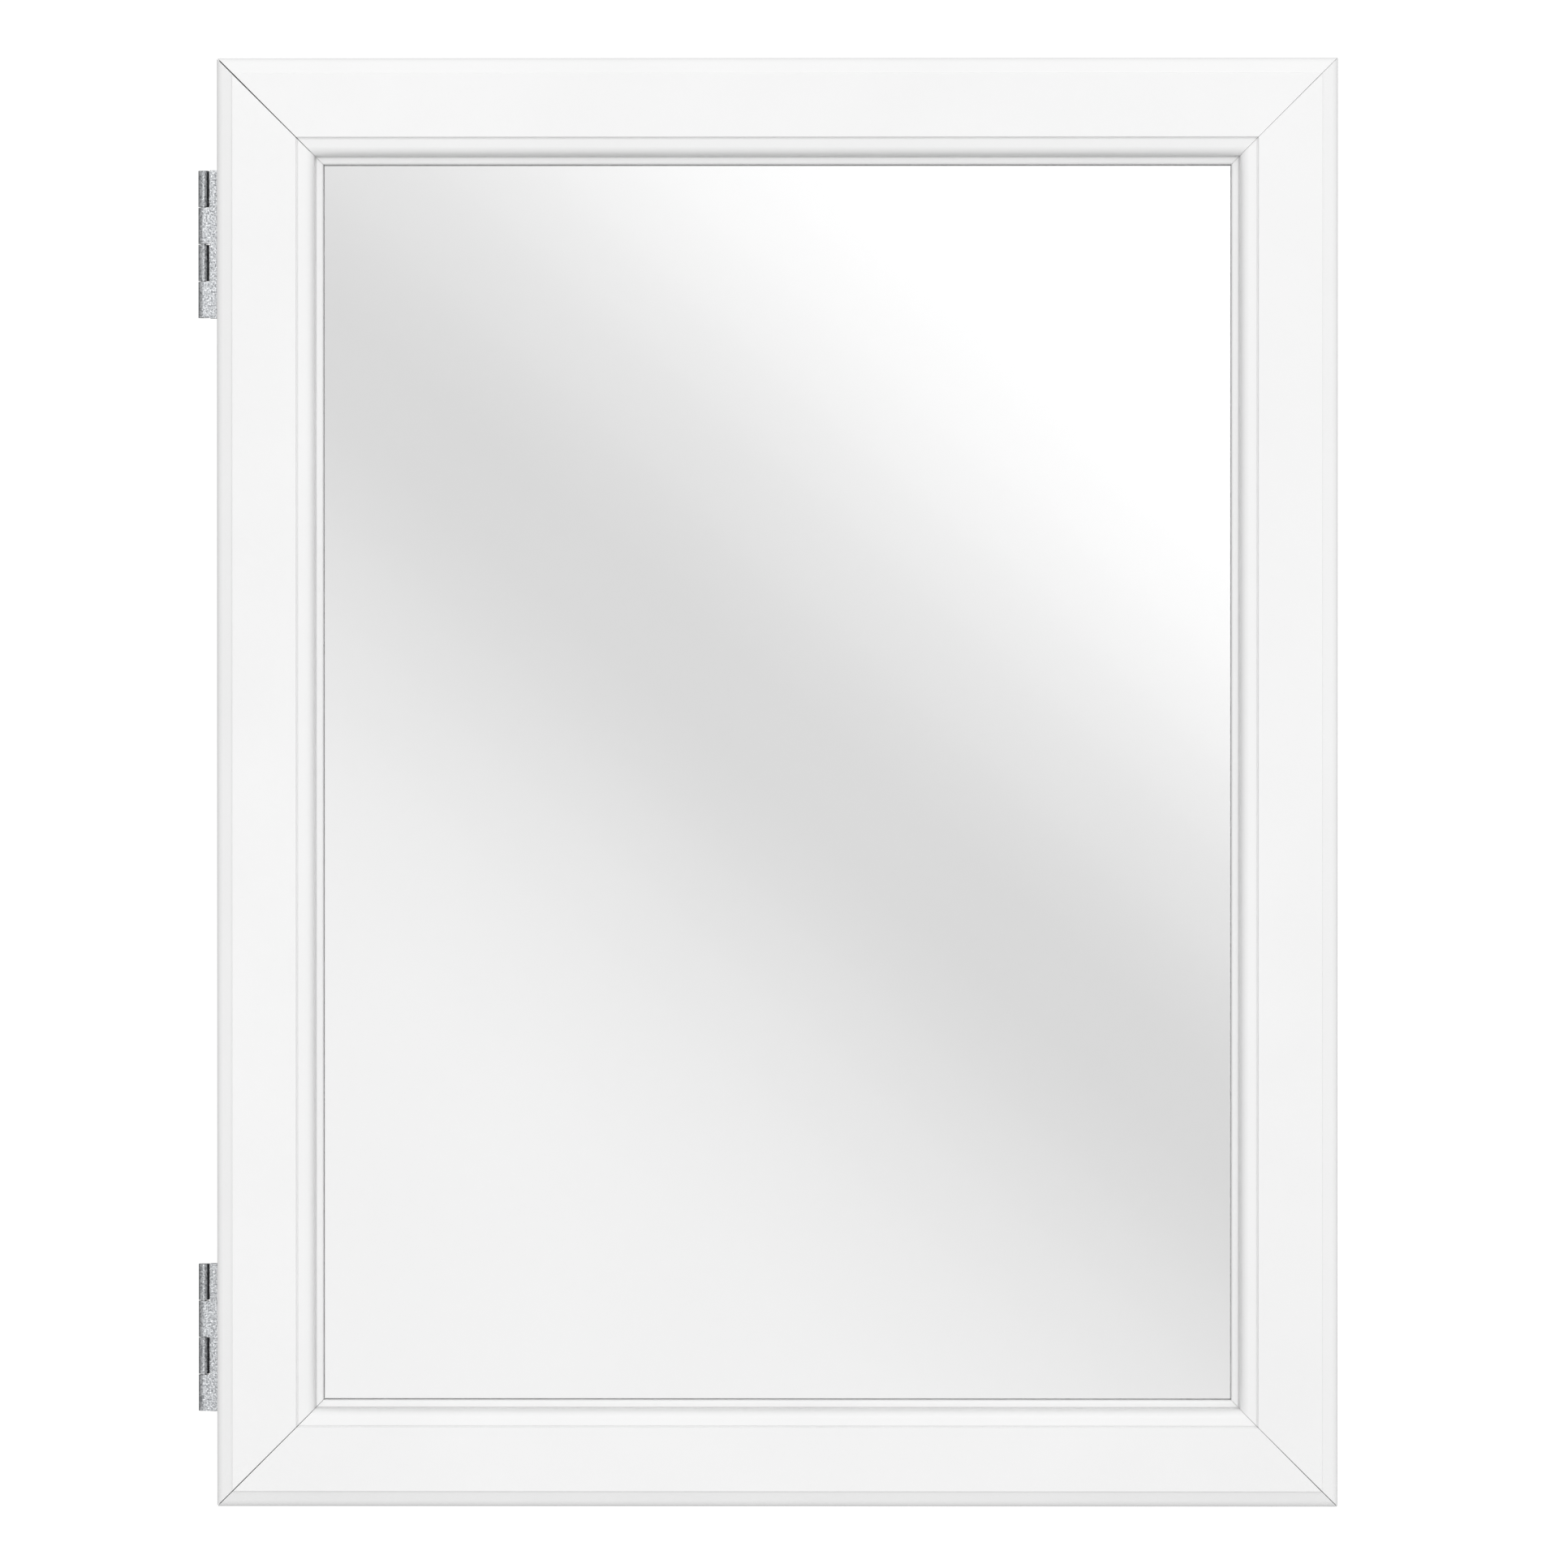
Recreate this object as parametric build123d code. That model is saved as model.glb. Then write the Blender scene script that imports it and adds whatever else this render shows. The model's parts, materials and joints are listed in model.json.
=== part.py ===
from build123d import *
import math
import os

os.makedirs("parts", exist_ok=True)

# A hanging wall cabinet: a shallow box with two glass shelves, shut by one framed mirror door that swings
# on two butt hinges.  Millimetres, +Z up.  The wall is the plane Y = 0, the door faces -Y, and the origin
# is the middle of the box's back.

# ---------------------------------------------------------------- driving dimensions: the box
BOX_WIDTH = 374.5
BOX_HEIGHT = 478.0
BOX_DEPTH = 96.0
PANEL = 12.0                 # thickness of the sides, top and bottom
EDGE_EASE = 0.8              # rounding of the panels' front edges
BACK_THICKNESS = 3.0
BACK_REBATE = 6.0            # how far the back panel reaches over the panels' rear edges
BACK_CLEARANCE = 0.5
RAIL_HEIGHT = 50.0           # hanging rails, in front of the back panel
RAIL_THICKNESS = 12.0
WALL_HOLE_SPACING = 250.0
WALL_HOLE_RADIUS = 2.5

# ---------------------------------------------------------------- driving dimensions: the door
OVERHANG_LATCH = 8.5         # the door is flush with the box on its hinge side
OVERHANG_TOP = 8.5
OVERHANG_BOTTOM = 8.5
DOOR_THICKNESS = 18.0
FRAME_WIDTH = 36.3
OUTER_BAND = 5.4             # width of the band along the outer edge
OUTER_FALL = 2.0             # how much the band slopes down to the edge
OUTER_CORNER = 3.5           # rounding between the band and the door's side
OUTER_STEP = 0.6             # small step from the band up to the flat
FLAT_WIDTH = 21.9
INNER_STEP = 0.8             # drop from the flat to the inner moulding
INNER_FILLET = 0.8
OVOLO = 5.5                  # inner quarter round
QUIRK_WIDTH = 0.4            # narrow groove between the quarter round and the lip
QUIRK_DEPTH = 0.5
LIP_ROUND = 0.6
REBATE_WIDTH = 6.0           # behind the lip, for the mirror
MIRROR_THICKNESS = 3.0
MIRROR_CLEARANCE = 0.8
BACKER_THICKNESS = 3.0
BACKER_RECESS = 3.0          # from the door's back to the backer

# ---------------------------------------------------------------- driving dimensions: the hinges
HINGE_LENGTH = 50.8
KNUCKLES = 4
KNUCKLE_GAP = 0.3
LEAF_THICKNESS = 0.9
LEAF_REACH = 17.0            # from the pin's axis to the leaf's far edge
LEAF_NOTCH = 0.5             # gap between a leaf and the other leaf's knuckles
LEAF_CORNER = 1.5
PIN_RADIUS = 0.85
PIN_RUNNING_FIT = 0.03
HINGE_SETOUT = 5.6           # from the door's edge to the pin's axis
HINGE_TOP_INSET = 37.4       # from the door's top to the upper hinge
HINGE_BOTTOM_INSET = 31.4
LEAF_SCREW_SPACING = 30.0

# ---------------------------------------------------------------- driving dimensions: shelves and catch
SHELVES = ("shelf_lower", "shelf_upper")
SHELF_THICKNESS = 5.0
SHELF_DEPTH = 80.0
SHELF_BACK_GAP = 1.0
SHELF_SIDE_CLEARANCE = 0.5
SHELF_EASE = 0.6
PIN_HOLE_RADIUS = 2.5
PIN_HOLE_DEPTH = 8.0
PIN_HOLE_PITCH = 32.0
PIN_HOLE_MARGIN = 60.0       # least distance from the first hole to the panel above or below
PIN_ROW_INSET = 18.0         # from the shelf's front and back edges to the rows of holes
COLLAR_RADIUS = 3.75
COLLAR_THICKNESS = 1.5
TONGUE_LENGTH = 8.0
TONGUE_WIDTH = 6.0
TONGUE_THICKNESS = 2.0
CATCH_WIDTH = 10.0           # along X, off the side's inner face
CATCH_DEPTH = 15.0
CATCH_BODY_HEIGHT = 30.0
CATCH_EAR = 8.0
CATCH_EAR_THICKNESS = 3.0
CATCH_FRONT_INSET = 1.0
MAGNET_THICKNESS = 4.0
MAGNET_DEPTH = 11.0
MAGNET_HEIGHT = 26.0
POLE_THICKNESS = 1.2
POLE_GAP = 0.35              # air left between the poles and the strike plate
STRIKE_WIDTH = 9.0
STRIKE_HEIGHT = 40.0
STRIKE_THICKNESS = 1.2
STRIKE_CORNER = 2.0
BUMPER_RADIUS = 4.0
BUMPER_GAP = 0.35
BUMPER_END_INSET = 30.0      # from the box's top and bottom edges

# ---------------------------------------------------------------- driving dimensions: fasteners
LEAF_SCREW = {"length": 13.0, "shank": 1.3, "head": 2.6, "sink": 1.3}
CATCH_SCREW = {"length": 11.0, "shank": 1.3, "head": 2.6, "sink": 1.3}
STRIKE_SCREW = {"length": 12.0, "shank": 1.3, "head": 2.6, "sink": 1.3}
PANEL_SCREW = {"length": 40.0, "shank": 2.4, "head": 3.5, "sink": 2.5}
CLIP_SCREW = {"length": 9.0, "shank": 1.2, "head": 2.4, "height": 1.5}
RECESS_SHARE = 0.62          # cross recess: length of an arm as a share of the head's radius
RECESS_WIDTH = 0.7
RECESS_DEPTH = 0.9
PAN_TOP_SHARE = 0.8          # radius at the top of a pan head, as a share of its radius
TIP_SHARE = 1.5              # length of a screw's point, in shank radii
PANEL_SCREW_INSET = 22.0     # from the box's front and back to the panel screws
CAP_RADIUS = 6.0
CAP_THICKNESS = 0.8
CAP_EASE = 0.4
DOWEL_RADIUS = 4.0
DOWEL_LENGTH = 30.0
DOWEL_IN_SIDE = 9.0
RAIL_DOWEL_RADIUS = 3.0
RAIL_DOWEL_LENGTH = 24.0
RAIL_DOWEL_IN_SIDE = 8.0
NAIL_RADIUS = 0.6
NAIL_LENGTH = 14.0
NAIL_HEAD_RADIUS = 1.3
NAIL_HEAD_THICKNESS = 0.5
NAIL_PITCH = 95.0            # greatest distance between two nails of the back panel
MITRE_NAIL_LEG = 5.0
MITRE_NAIL_GAUGE = 0.5
MITRE_NAIL_DEPTH = 10.0
MITRE_NAIL_PLACES = (10.0, 22.0)  # from the door's outer edges to the corner of each V
CLIP_WIDTH = 12.0
CLIP_THICKNESS = 1.2
CLIP_FOOT = 8.3
CLIP_TOE = 4.7
CLIP_PLACES = (-0.32, 0.32)  # along each side of the mirror, as shares of its length

# ---------------------------------------------------------------- places worked out from them
BOX_LEFT = -BOX_WIDTH / 2
BOX_RIGHT = BOX_WIDTH / 2
BOX_TOP = BOX_HEIGHT / 2
BOX_BOTTOM = -BOX_HEIGHT / 2
BOX_FRONT = -BOX_DEPTH
INNER_LEFT = BOX_LEFT + PANEL
INNER_RIGHT = BOX_RIGHT - PANEL
INNER_TOP = BOX_TOP - PANEL
INNER_BOTTOM = BOX_BOTTOM + PANEL
BACK_FACE = -BACK_THICKNESS

DOOR_LEFT = BOX_LEFT
DOOR_RIGHT = BOX_RIGHT + OVERHANG_LATCH
DOOR_TOP = BOX_TOP + OVERHANG_TOP
DOOR_BOTTOM = BOX_BOTTOM - OVERHANG_BOTTOM
KNUCKLE_RADIUS = PIN_RADIUS + PIN_RUNNING_FIT + LEAF_THICKNESS
DOOR_BACK = BOX_FRONT - 2 * KNUCKLE_RADIUS
DOOR_FRONT = DOOR_BACK - DOOR_THICKNESS
AXIS_X = DOOR_LEFT - HINGE_SETOUT
AXIS_Y = BOX_FRONT - KNUCKLE_RADIUS
REBATE_DEPTH = BACKER_RECESS + BACKER_THICKNESS + MIRROR_THICKNESS
REBATE_START = FRAME_WIDTH - REBATE_WIDTH
HINGE_MIDDLES = {
    "upper": DOOR_TOP - HINGE_TOP_INSET - HINGE_LENGTH / 2,
    "lower": DOOR_BOTTOM + HINGE_BOTTOM_INSET + HINGE_LENGTH / 2,
}
LEAF_SCREW_X = BOX_LEFT + PANEL / 2
CATCH_X = INNER_RIGHT - CATCH_WIDTH / 2
STRIKE_FACE = DOOR_BACK + STRIKE_THICKNESS

OUT = Vector(0, -1, 0)       # towards the viewer
IN = Vector(0, 1, 0)         # towards the wall


# ---------------------------------------------------------------- small helpers
def block(x, y, z):
    """A box between two limits along each axis, given in either order."""
    size = [abs(b - a) for a, b in (x, y, z)]
    middle = [(a + b) / 2 for a, b in (x, y, z)]
    return Pos(*middle) * Box(*size)


def rod(start, direction, length, radius, end_radius=None):
    """A round bar, or a cone when end_radius is given, from a point along a direction."""
    seat = Plane(origin=start, z_dir=direction)
    align = (Align.CENTER, Align.CENTER, Align.MIN)
    if end_radius is None:
        return seat * Cylinder(radius, length, align=align)
    return seat * Cone(radius, end_radius, length, align=align)


def cross_recess(point, direction, head):
    """The cross that a screwdriver turns, cut into a head whose face is at point."""
    seat = Plane(origin=point, z_dir=direction)
    arm = 2 * RECESS_SHARE * head
    bars = Box(arm, RECESS_WIDTH, 2 * RECESS_DEPTH) + Box(RECESS_WIDTH, arm, 2 * RECESS_DEPTH)
    return seat * bars


def shank(point, direction, spec, start):
    """The round part of a screw below its head, with its point."""
    tip = TIP_SHARE * spec["shank"]
    straight = spec["length"] - start - tip
    body = rod(point + direction * start, direction, straight, spec["shank"])
    return body + rod(point + direction * (start + straight), direction, tip, spec["shank"], 0)


def sunk_blank(point, direction, spec):
    """A countersunk screw without its recess; its face is at point and it runs along direction."""
    head = rod(point, direction, spec["sink"], spec["head"], spec["shank"])
    return head + shank(point, direction, spec, spec["sink"])


def pan_blank(point, direction, spec):
    """A pan-head screw without its recess; its head stands on the surface at point."""
    top = point - direction * spec["height"]
    head = rod(top, direction, spec["height"], PAN_TOP_SHARE * spec["head"], spec["head"])
    return head + shank(point, direction, spec, 0)


def screws(blanks, faces, direction, spec):
    """Finished screws: each blank with a cross cut into the face of its head."""
    return [b - cross_recess(f, direction, spec["head"]) for b, f in zip(blanks, faces)]


def evenly(low, high, greatest):
    """Places from low to high, both included, no further apart than greatest."""
    gaps = max(1, math.ceil((high - low) / greatest))
    return [low + (high - low) * i / gaps for i in range(gaps + 1)]


def write(name, *solids):
    """One STEP file for one sub-part, which may be several separate solids."""
    shape = solids[0] if len(solids) == 1 else Compound(children=list(solids))
    shape.label = name
    export_step(shape, f"parts/{name}.step")


# ---------------------------------------------------------------- shelf pins and their rows of holes
shelf_back = BACK_FACE - SHELF_BACK_GAP
shelf_front = shelf_back - SHELF_DEPTH
pin_rows = (shelf_back - PIN_ROW_INSET, shelf_front + PIN_ROW_INSET)
hole_span = INNER_TOP - INNER_BOTTOM - 2 * PIN_HOLE_MARGIN
hole_gaps = int(hole_span / PIN_HOLE_PITCH)
hole_heights = [PIN_HOLE_PITCH * (i - hole_gaps / 2) for i in range(hole_gaps + 1)]
lower_hole = hole_gaps // (len(SHELVES) + 1)
shelf_heights = dict(zip(SHELVES, (hole_heights[lower_hole], hole_heights[hole_gaps - lower_hole])))


def shelf_pin(wall_x, inward, y, z):
    """A steel pin: its shank fills a hole in the side, and the shelf lies on its flat tongue."""
    seat = Vector(wall_x, y, z)
    along = Vector(inward, 0, 0)
    stem = rod(seat, along * -1, PIN_HOLE_DEPTH, PIN_HOLE_RADIUS)
    collar = rod(seat, along, COLLAR_THICKNESS, COLLAR_RADIUS)
    reach = wall_x + inward * (COLLAR_THICKNESS + TONGUE_LENGTH)
    half = TONGUE_WIDTH / 2
    tongue = block((wall_x, reach), (y - half, y + half), (z - TONGUE_THICKNESS, z))
    return stem + collar + tongue


def pin_holes(wall_x, inward):
    """Both rows of blind holes in one side."""
    along = Vector(-inward, 0, 0)
    seats = [Vector(wall_x, y, z) for y in pin_rows for z in hole_heights]
    return [rod(seat, along, PIN_HOLE_DEPTH, PIN_HOLE_RADIUS) for seat in seats]


# ---------------------------------------------------------------- joints of the box
screw_rows = (-PANEL_SCREW_INSET, BOX_FRONT + PANEL_SCREW_INSET)
dowel_y = BOX_FRONT / 2
rail_y = BACK_FACE - RAIL_THICKNESS / 2
rail_heights = (INNER_TOP - RAIL_HEIGHT / 2, INNER_BOTTOM + RAIL_HEIGHT / 2)
panel_heights = (BOX_TOP - PANEL / 2, BOX_BOTTOM + PANEL / 2)

panel_screws = []
screw_caps = []
dowels = []
rail_dowels = []
for side_x, inward in ((BOX_LEFT, 1), (BOX_RIGHT, -1)):
    along = Vector(inward, 0, 0)
    inner_x = side_x + inward * PANEL
    for z in panel_heights:
        for y in screw_rows:
            face = Vector(side_x, y, z)
            panel_screws.append((face, along))
            cap = rod(face, along * -1, CAP_THICKNESS, CAP_RADIUS)
            rim = cap.edges().group_by(Axis.X)[0 if inward > 0 else -1]
            screw_caps.append(fillet(rim, CAP_EASE))
        start = Vector(inner_x, dowel_y, z) - along * DOWEL_IN_SIDE
        dowels.append(rod(start, along, DOWEL_LENGTH, DOWEL_RADIUS))
    for z in rail_heights:
        start = Vector(inner_x, rail_y, z) - along * RAIL_DOWEL_IN_SIDE
        rail_dowels.append(rod(start, along, RAIL_DOWEL_LENGTH, RAIL_DOWEL_RADIUS))
panel_blanks = [sunk_blank(face, along, PANEL_SCREW) for face, along in panel_screws]
panel_screw_solids = [
    blank - cross_recess(face, along, PANEL_SCREW["head"])
    for blank, (face, along) in zip(panel_blanks, panel_screws)
]

# ---------------------------------------------------------------- back panel and its nails
rebate = PANEL - BACK_REBATE
back_x = BOX_RIGHT - rebate - BACK_CLEARANCE
back_z = BOX_TOP - rebate - BACK_CLEARANCE
back_pocket = block(
    (-BOX_RIGHT + rebate, BOX_RIGHT - rebate), (0, BACK_FACE), (BOX_BOTTOM + rebate, BOX_TOP - rebate)
)
nail_x = BOX_RIGHT - rebate - BACK_REBATE / 2
nail_z = BOX_TOP - rebate - BACK_REBATE / 2
nail_places = [(side * nail_x, z) for side in (-1, 1) for z in evenly(-nail_z, nail_z, NAIL_PITCH)]
nail_places += [(x, side * nail_z) for side in (-1, 1) for x in evenly(-nail_x, nail_x, NAIL_PITCH)[1:-1]]
nails = []
for x, z in nail_places:
    place = Vector(x, 0, z)
    head = rod(place, OUT, NAIL_HEAD_THICKNESS, NAIL_HEAD_RADIUS)
    nails.append(head + rod(place, OUT, NAIL_LENGTH, NAIL_RADIUS))
wall_holes = [
    rod(Vector(side * WALL_HOLE_SPACING / 2, 0, z), OUT, BACK_THICKNESS + RAIL_THICKNESS, WALL_HOLE_RADIUS)
    for side in (-1, 1)
    for z in rail_heights
]

# ---------------------------------------------------------------- magnetic catch, on the latch side's inner face
catch_front = BOX_FRONT + CATCH_FRONT_INSET
catch_back = catch_front + CATCH_DEPTH
magnet_back = catch_front + (CATCH_DEPTH + MAGNET_DEPTH) / 2
catch_half = CATCH_BODY_HEIGHT / 2
ear_x = INNER_RIGHT - CATCH_EAR_THICKNESS
catch_screw_y = (catch_front + catch_back) / 2
catch_screw_faces = [Vector(ear_x, catch_screw_y, s * (catch_half + CATCH_EAR / 2)) for s in (-1, 1)]
side_inwards = Vector(1, 0, 0)
catch_blanks = [sunk_blank(face, side_inwards, CATCH_SCREW) for face in catch_screw_faces]

magnet_x = (CATCH_X - MAGNET_THICKNESS / 2, CATCH_X + MAGNET_THICKNESS / 2)
magnet_z = (-MAGNET_HEIGHT / 2, MAGNET_HEIGHT / 2)
magnet = block(magnet_x, (catch_front, magnet_back), magnet_z)
poles = [
    block((edge, edge + way * POLE_THICKNESS), (STRIKE_FACE + POLE_GAP, magnet_back), magnet_z)
    for edge, way in zip(magnet_x, (-1, 1))
]
housing = block((INNER_RIGHT - CATCH_WIDTH, INNER_RIGHT), (catch_front, catch_back), (-catch_half, catch_half))
ears = block(
    (ear_x, INNER_RIGHT), (catch_front, catch_back), (-catch_half - CATCH_EAR, catch_half + CATCH_EAR)
)
housing = housing + ears - [magnet, *poles, *catch_blanks]

# ---------------------------------------------------------------- hinges
leaf_faces = {"door": AXIS_Y - KNUCKLE_RADIUS, "box": AXIS_Y + KNUCKLE_RADIUS}
knuckle_pitch = HINGE_LENGTH / KNUCKLES


def leaf_screw_faces(middle, owner):
    """Where the two screws of one leaf have their heads' faces."""
    y = leaf_faces[owner] + (LEAF_THICKNESS if owner == "door" else -LEAF_THICKNESS)
    return [Vector(LEAF_SCREW_X, y, middle + s * LEAF_SCREW_SPACING / 2) for s in (-1, 1)]


def hinge_leaf(middle, owner):
    """A leaf with its own rolled knuckles; the first knuckle from the top belongs to the box."""
    outer = leaf_faces[owner]
    inner = outer + (LEAF_THICKNESS if owner == "door" else -LEAF_THICKNESS)
    top = middle + HINGE_LENGTH / 2
    plate_start = AXIS_X + KNUCKLE_RADIUS + LEAF_NOTCH
    plate = block((plate_start, AXIS_X + LEAF_REACH), (outer, inner), (top, top - HINGE_LENGTH))
    far_corners = plate.edges().filter_by(Axis.Y).group_by(Axis.X)[-1]
    leaf = fillet(far_corners, LEAF_CORNER)
    bore = PIN_RADIUS + (PIN_RUNNING_FIT if owner == "door" else 0)
    for i in range(KNUCKLES):
        if (i % 2 == 0) == (owner == "box"):
            high = top - i * knuckle_pitch - KNUCKLE_GAP / 2
            low = high - knuckle_pitch + KNUCKLE_GAP
            leaf += block((AXIS_X, plate_start), (outer, inner), (low, high))
            leaf += rod(Vector(AXIS_X, AXIS_Y, low), Vector(0, 0, 1), high - low, KNUCKLE_RADIUS)
    leaf -= rod(Vector(AXIS_X, AXIS_Y, top - HINGE_LENGTH), Vector(0, 0, 1), HINGE_LENGTH, bore)
    way = OUT if owner == "door" else IN
    return leaf - [sunk_blank(face, way, LEAF_SCREW) for face in leaf_screw_faces(middle, owner)]


def hinge_pin(middle):
    """The pin runs the length of the end knuckles."""
    length = HINGE_LENGTH - KNUCKLE_GAP
    return rod(Vector(AXIS_X, AXIS_Y, middle - length / 2), Vector(0, 0, 1), length, PIN_RADIUS)


leaf_blanks = {"door": [], "box": []}
leaf_screws = {"door": [], "box": []}
for middle in HINGE_MIDDLES.values():
    for owner, way in (("door", OUT), ("box", IN)):
        faces = leaf_screw_faces(middle, owner)
        blanks = [sunk_blank(face, way, LEAF_SCREW) for face in faces]
        leaf_blanks[owner] += blanks
        leaf_screws[owner] += screws(blanks, faces, way, LEAF_SCREW)

# ---------------------------------------------------------------- the box
panel_cuts = panel_blanks + dowels + rail_dowels + nails + [back_pocket]


def side_panel(side_x, inward, extra):
    """A full-height side, drilled for the shelf pins and everything that joins it."""
    inner_x = side_x + inward * PANEL
    side = block((side_x, inner_x), (0, BOX_FRONT), (BOX_BOTTOM, BOX_TOP))
    side = fillet(side.edges().group_by(Axis.Y)[0].filter_by(Axis.Z), EDGE_EASE)
    return side - (panel_cuts + pin_holes(inner_x, inward) + extra)


def end_panel(z_outer, z_inner):
    """The top or the bottom, which fits between the sides."""
    panel = block((INNER_LEFT, INNER_RIGHT), (0, BOX_FRONT), (z_outer, z_inner))
    panel = fillet(panel.edges().group_by(Axis.Y)[0].filter_by(Axis.X), EDGE_EASE)
    return panel - panel_cuts


def hanging_rail(middle):
    """A rail between the sides, against the end panel and the back, with two holes for wall screws."""
    half = RAIL_HEIGHT / 2
    rail = block(
        (INNER_LEFT, INNER_RIGHT), (BACK_FACE, BACK_FACE - RAIL_THICKNESS), (middle - half, middle + half)
    )
    return rail - (rail_dowels + wall_holes + nails)


def shelf(height):
    """A glass shelf with eased edges, which lies on the tongues of four pins."""
    side_gap = COLLAR_THICKNESS + SHELF_SIDE_CLEARANCE
    plate = block(
        (INNER_LEFT + side_gap, INNER_RIGHT - side_gap),
        (shelf_back, shelf_front),
        (height, height + SHELF_THICKNESS),
    )
    return chamfer(plate.edges(), SHELF_EASE)


write("side_left", side_panel(BOX_LEFT, 1, leaf_blanks["box"]))
write("side_right", side_panel(BOX_RIGHT, -1, catch_blanks))
write("top_panel", end_panel(BOX_TOP, INNER_TOP))
write("bottom_panel", end_panel(BOX_BOTTOM, INNER_BOTTOM))
back = block((-back_x, back_x), (0, BACK_FACE), (-back_z, back_z))
write("back_panel", back - (nails + wall_holes))
write("hanging_rail_top", hanging_rail(rail_heights[0]))
write("hanging_rail_bottom", hanging_rail(rail_heights[1]))
for name, height in shelf_heights.items():
    write(name, shelf(height))
    pins = [shelf_pin(INNER_LEFT, 1, y, height) for y in pin_rows]
    pins += [shelf_pin(INNER_RIGHT, -1, y, height) for y in pin_rows]
    write(f"{name}_pins", *pins)
write("panel_screws", *panel_screw_solids)
write("panel_screw_caps", *screw_caps)
write("panel_dowels", *dowels)
write("rail_dowels", *rail_dowels)
write("back_nails", *nails)
write("catch_housing", housing)
write("catch_magnet", magnet)
write("catch_poles", *poles)
write("catch_screws", *screws(catch_blanks, catch_screw_faces, side_inwards, CATCH_SCREW))
for name, middle in HINGE_MIDDLES.items():
    write(f"{name}_hinge_box_leaf", hinge_leaf(middle, "box"))
    write(f"{name}_hinge_door_leaf", hinge_leaf(middle, "door"))
    write(f"{name}_hinge_pin", hinge_pin(middle))
write("box_leaf_screws", *leaf_screws["box"])
write("door_leaf_screws", *leaf_screws["door"])


# ---------------------------------------------------------------- the door's frame
def moulding():
    """The section of a frame member: X runs in from the outer edge, Y from the back to the front."""
    band_top = DOOR_THICKNESS - OUTER_STEP
    flat_end = OUTER_BAND + FLAT_WIDTH
    ovolo_start = flat_end + INNER_FILLET
    ovolo_end = ovolo_start + OVOLO
    fillet_level = DOOR_THICKNESS - INNER_STEP
    lip_level = fillet_level - OVOLO
    lip_start = ovolo_end + QUIRK_WIDTH
    quarter = 90
    band = FilletPolyline(
        (0, 0), (0, band_top - OUTER_FALL), (OUTER_BAND, band_top), radius=OUTER_CORNER
    )
    ovolo_arc = CenterArc((ovolo_start, lip_level), OVOLO, 0, quarter)
    lip_arc = CenterArc((FRAME_WIDTH - LIP_ROUND, lip_level - LIP_ROUND), LIP_ROUND, 0, quarter)
    back = Line((0, 0), (REBATE_START, 0))
    ledge = Polyline(
        (REBATE_START, 0), (REBATE_START, REBATE_DEPTH), (FRAME_WIDTH, REBATE_DEPTH),
        (FRAME_WIDTH, lip_level - LIP_ROUND),
    )
    quirk = Polyline(
        (FRAME_WIDTH - LIP_ROUND, lip_level), (lip_start, lip_level), (lip_start, lip_level - QUIRK_DEPTH),
        (ovolo_end, lip_level - QUIRK_DEPTH), (ovolo_end, lip_level),
    )
    face = Polyline(
        (ovolo_start, fillet_level), (flat_end, fillet_level), (flat_end, DOOR_THICKNESS),
        (OUTER_BAND, DOOR_THICKNESS), (OUTER_BAND, band_top),
    )
    return make_face(back + ledge + lip_arc + quirk + ovolo_arc + face + band)


def mitred_member(start, inward, end):
    """One member: the moulding pushed along an edge of the door and cut at 45 degrees at both ends."""
    length = (end - start).length
    along = (end - start).normalized()
    bar = extrude(Plane(origin=start, x_dir=inward, z_dir=inward.cross(OUT)) * moulding(), length)
    corners = [start, end, end + (inward - along) * FRAME_WIDTH, start + (inward + along) * FRAME_WIDTH]
    wedge = extrude(make_face(Polyline(*corners, close=True)), DOOR_THICKNESS, dir=OUT)
    return bar & wedge


def mitre_nail(corner, inward_x, inward_z, place):
    """A V of steel pressed into the back across a mitre; its point is on the mitre line."""
    leg = MITRE_NAIL_LEG
    gauge = MITRE_NAIL_GAUGE
    arm_x = Rectangle(leg, gauge, align=(Align.MIN, Align.MIN))
    arm_z = Rectangle(gauge, leg, align=(Align.MIN, Align.MIN))
    seat = Plane(
        origin=corner + Vector(inward_x, 0, inward_z) * place,
        x_dir=Vector(inward_x, 0, 0),
        z_dir=Vector(inward_x, 0, 0).cross(Vector(0, 0, inward_z)),
    )
    return extrude(seat * (arm_x + arm_z), MITRE_NAIL_DEPTH, dir=OUT)


corners = {
    "top_left": Vector(DOOR_LEFT, DOOR_BACK, DOOR_TOP),
    "top_right": Vector(DOOR_RIGHT, DOOR_BACK, DOOR_TOP),
    "bottom_left": Vector(DOOR_LEFT, DOOR_BACK, DOOR_BOTTOM),
    "bottom_right": Vector(DOOR_RIGHT, DOOR_BACK, DOOR_BOTTOM),
}
mitre_nails = []
for name, corner in corners.items():
    inward_x = 1 if name.endswith("left") else -1
    inward_z = 1 if name.startswith("bottom") else -1
    mitre_nails += [mitre_nail(corner, inward_x, inward_z, place) for place in MITRE_NAIL_PLACES]

# ---------------------------------------------------------------- mirror, backer and clips
mirror_edge = REBATE_START + MIRROR_CLEARANCE
mirror_x = (DOOR_LEFT + mirror_edge, DOOR_RIGHT - mirror_edge)
mirror_z = (DOOR_BOTTOM + mirror_edge, DOOR_TOP - mirror_edge)
backer_back = DOOR_BACK - BACKER_RECESS
backer_front = backer_back - BACKER_THICKNESS
mirror = block(mirror_x, (backer_front, backer_front - MIRROR_THICKNESS), mirror_z)
backer = block(mirror_x, (backer_back, backer_front), mirror_z)


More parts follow.
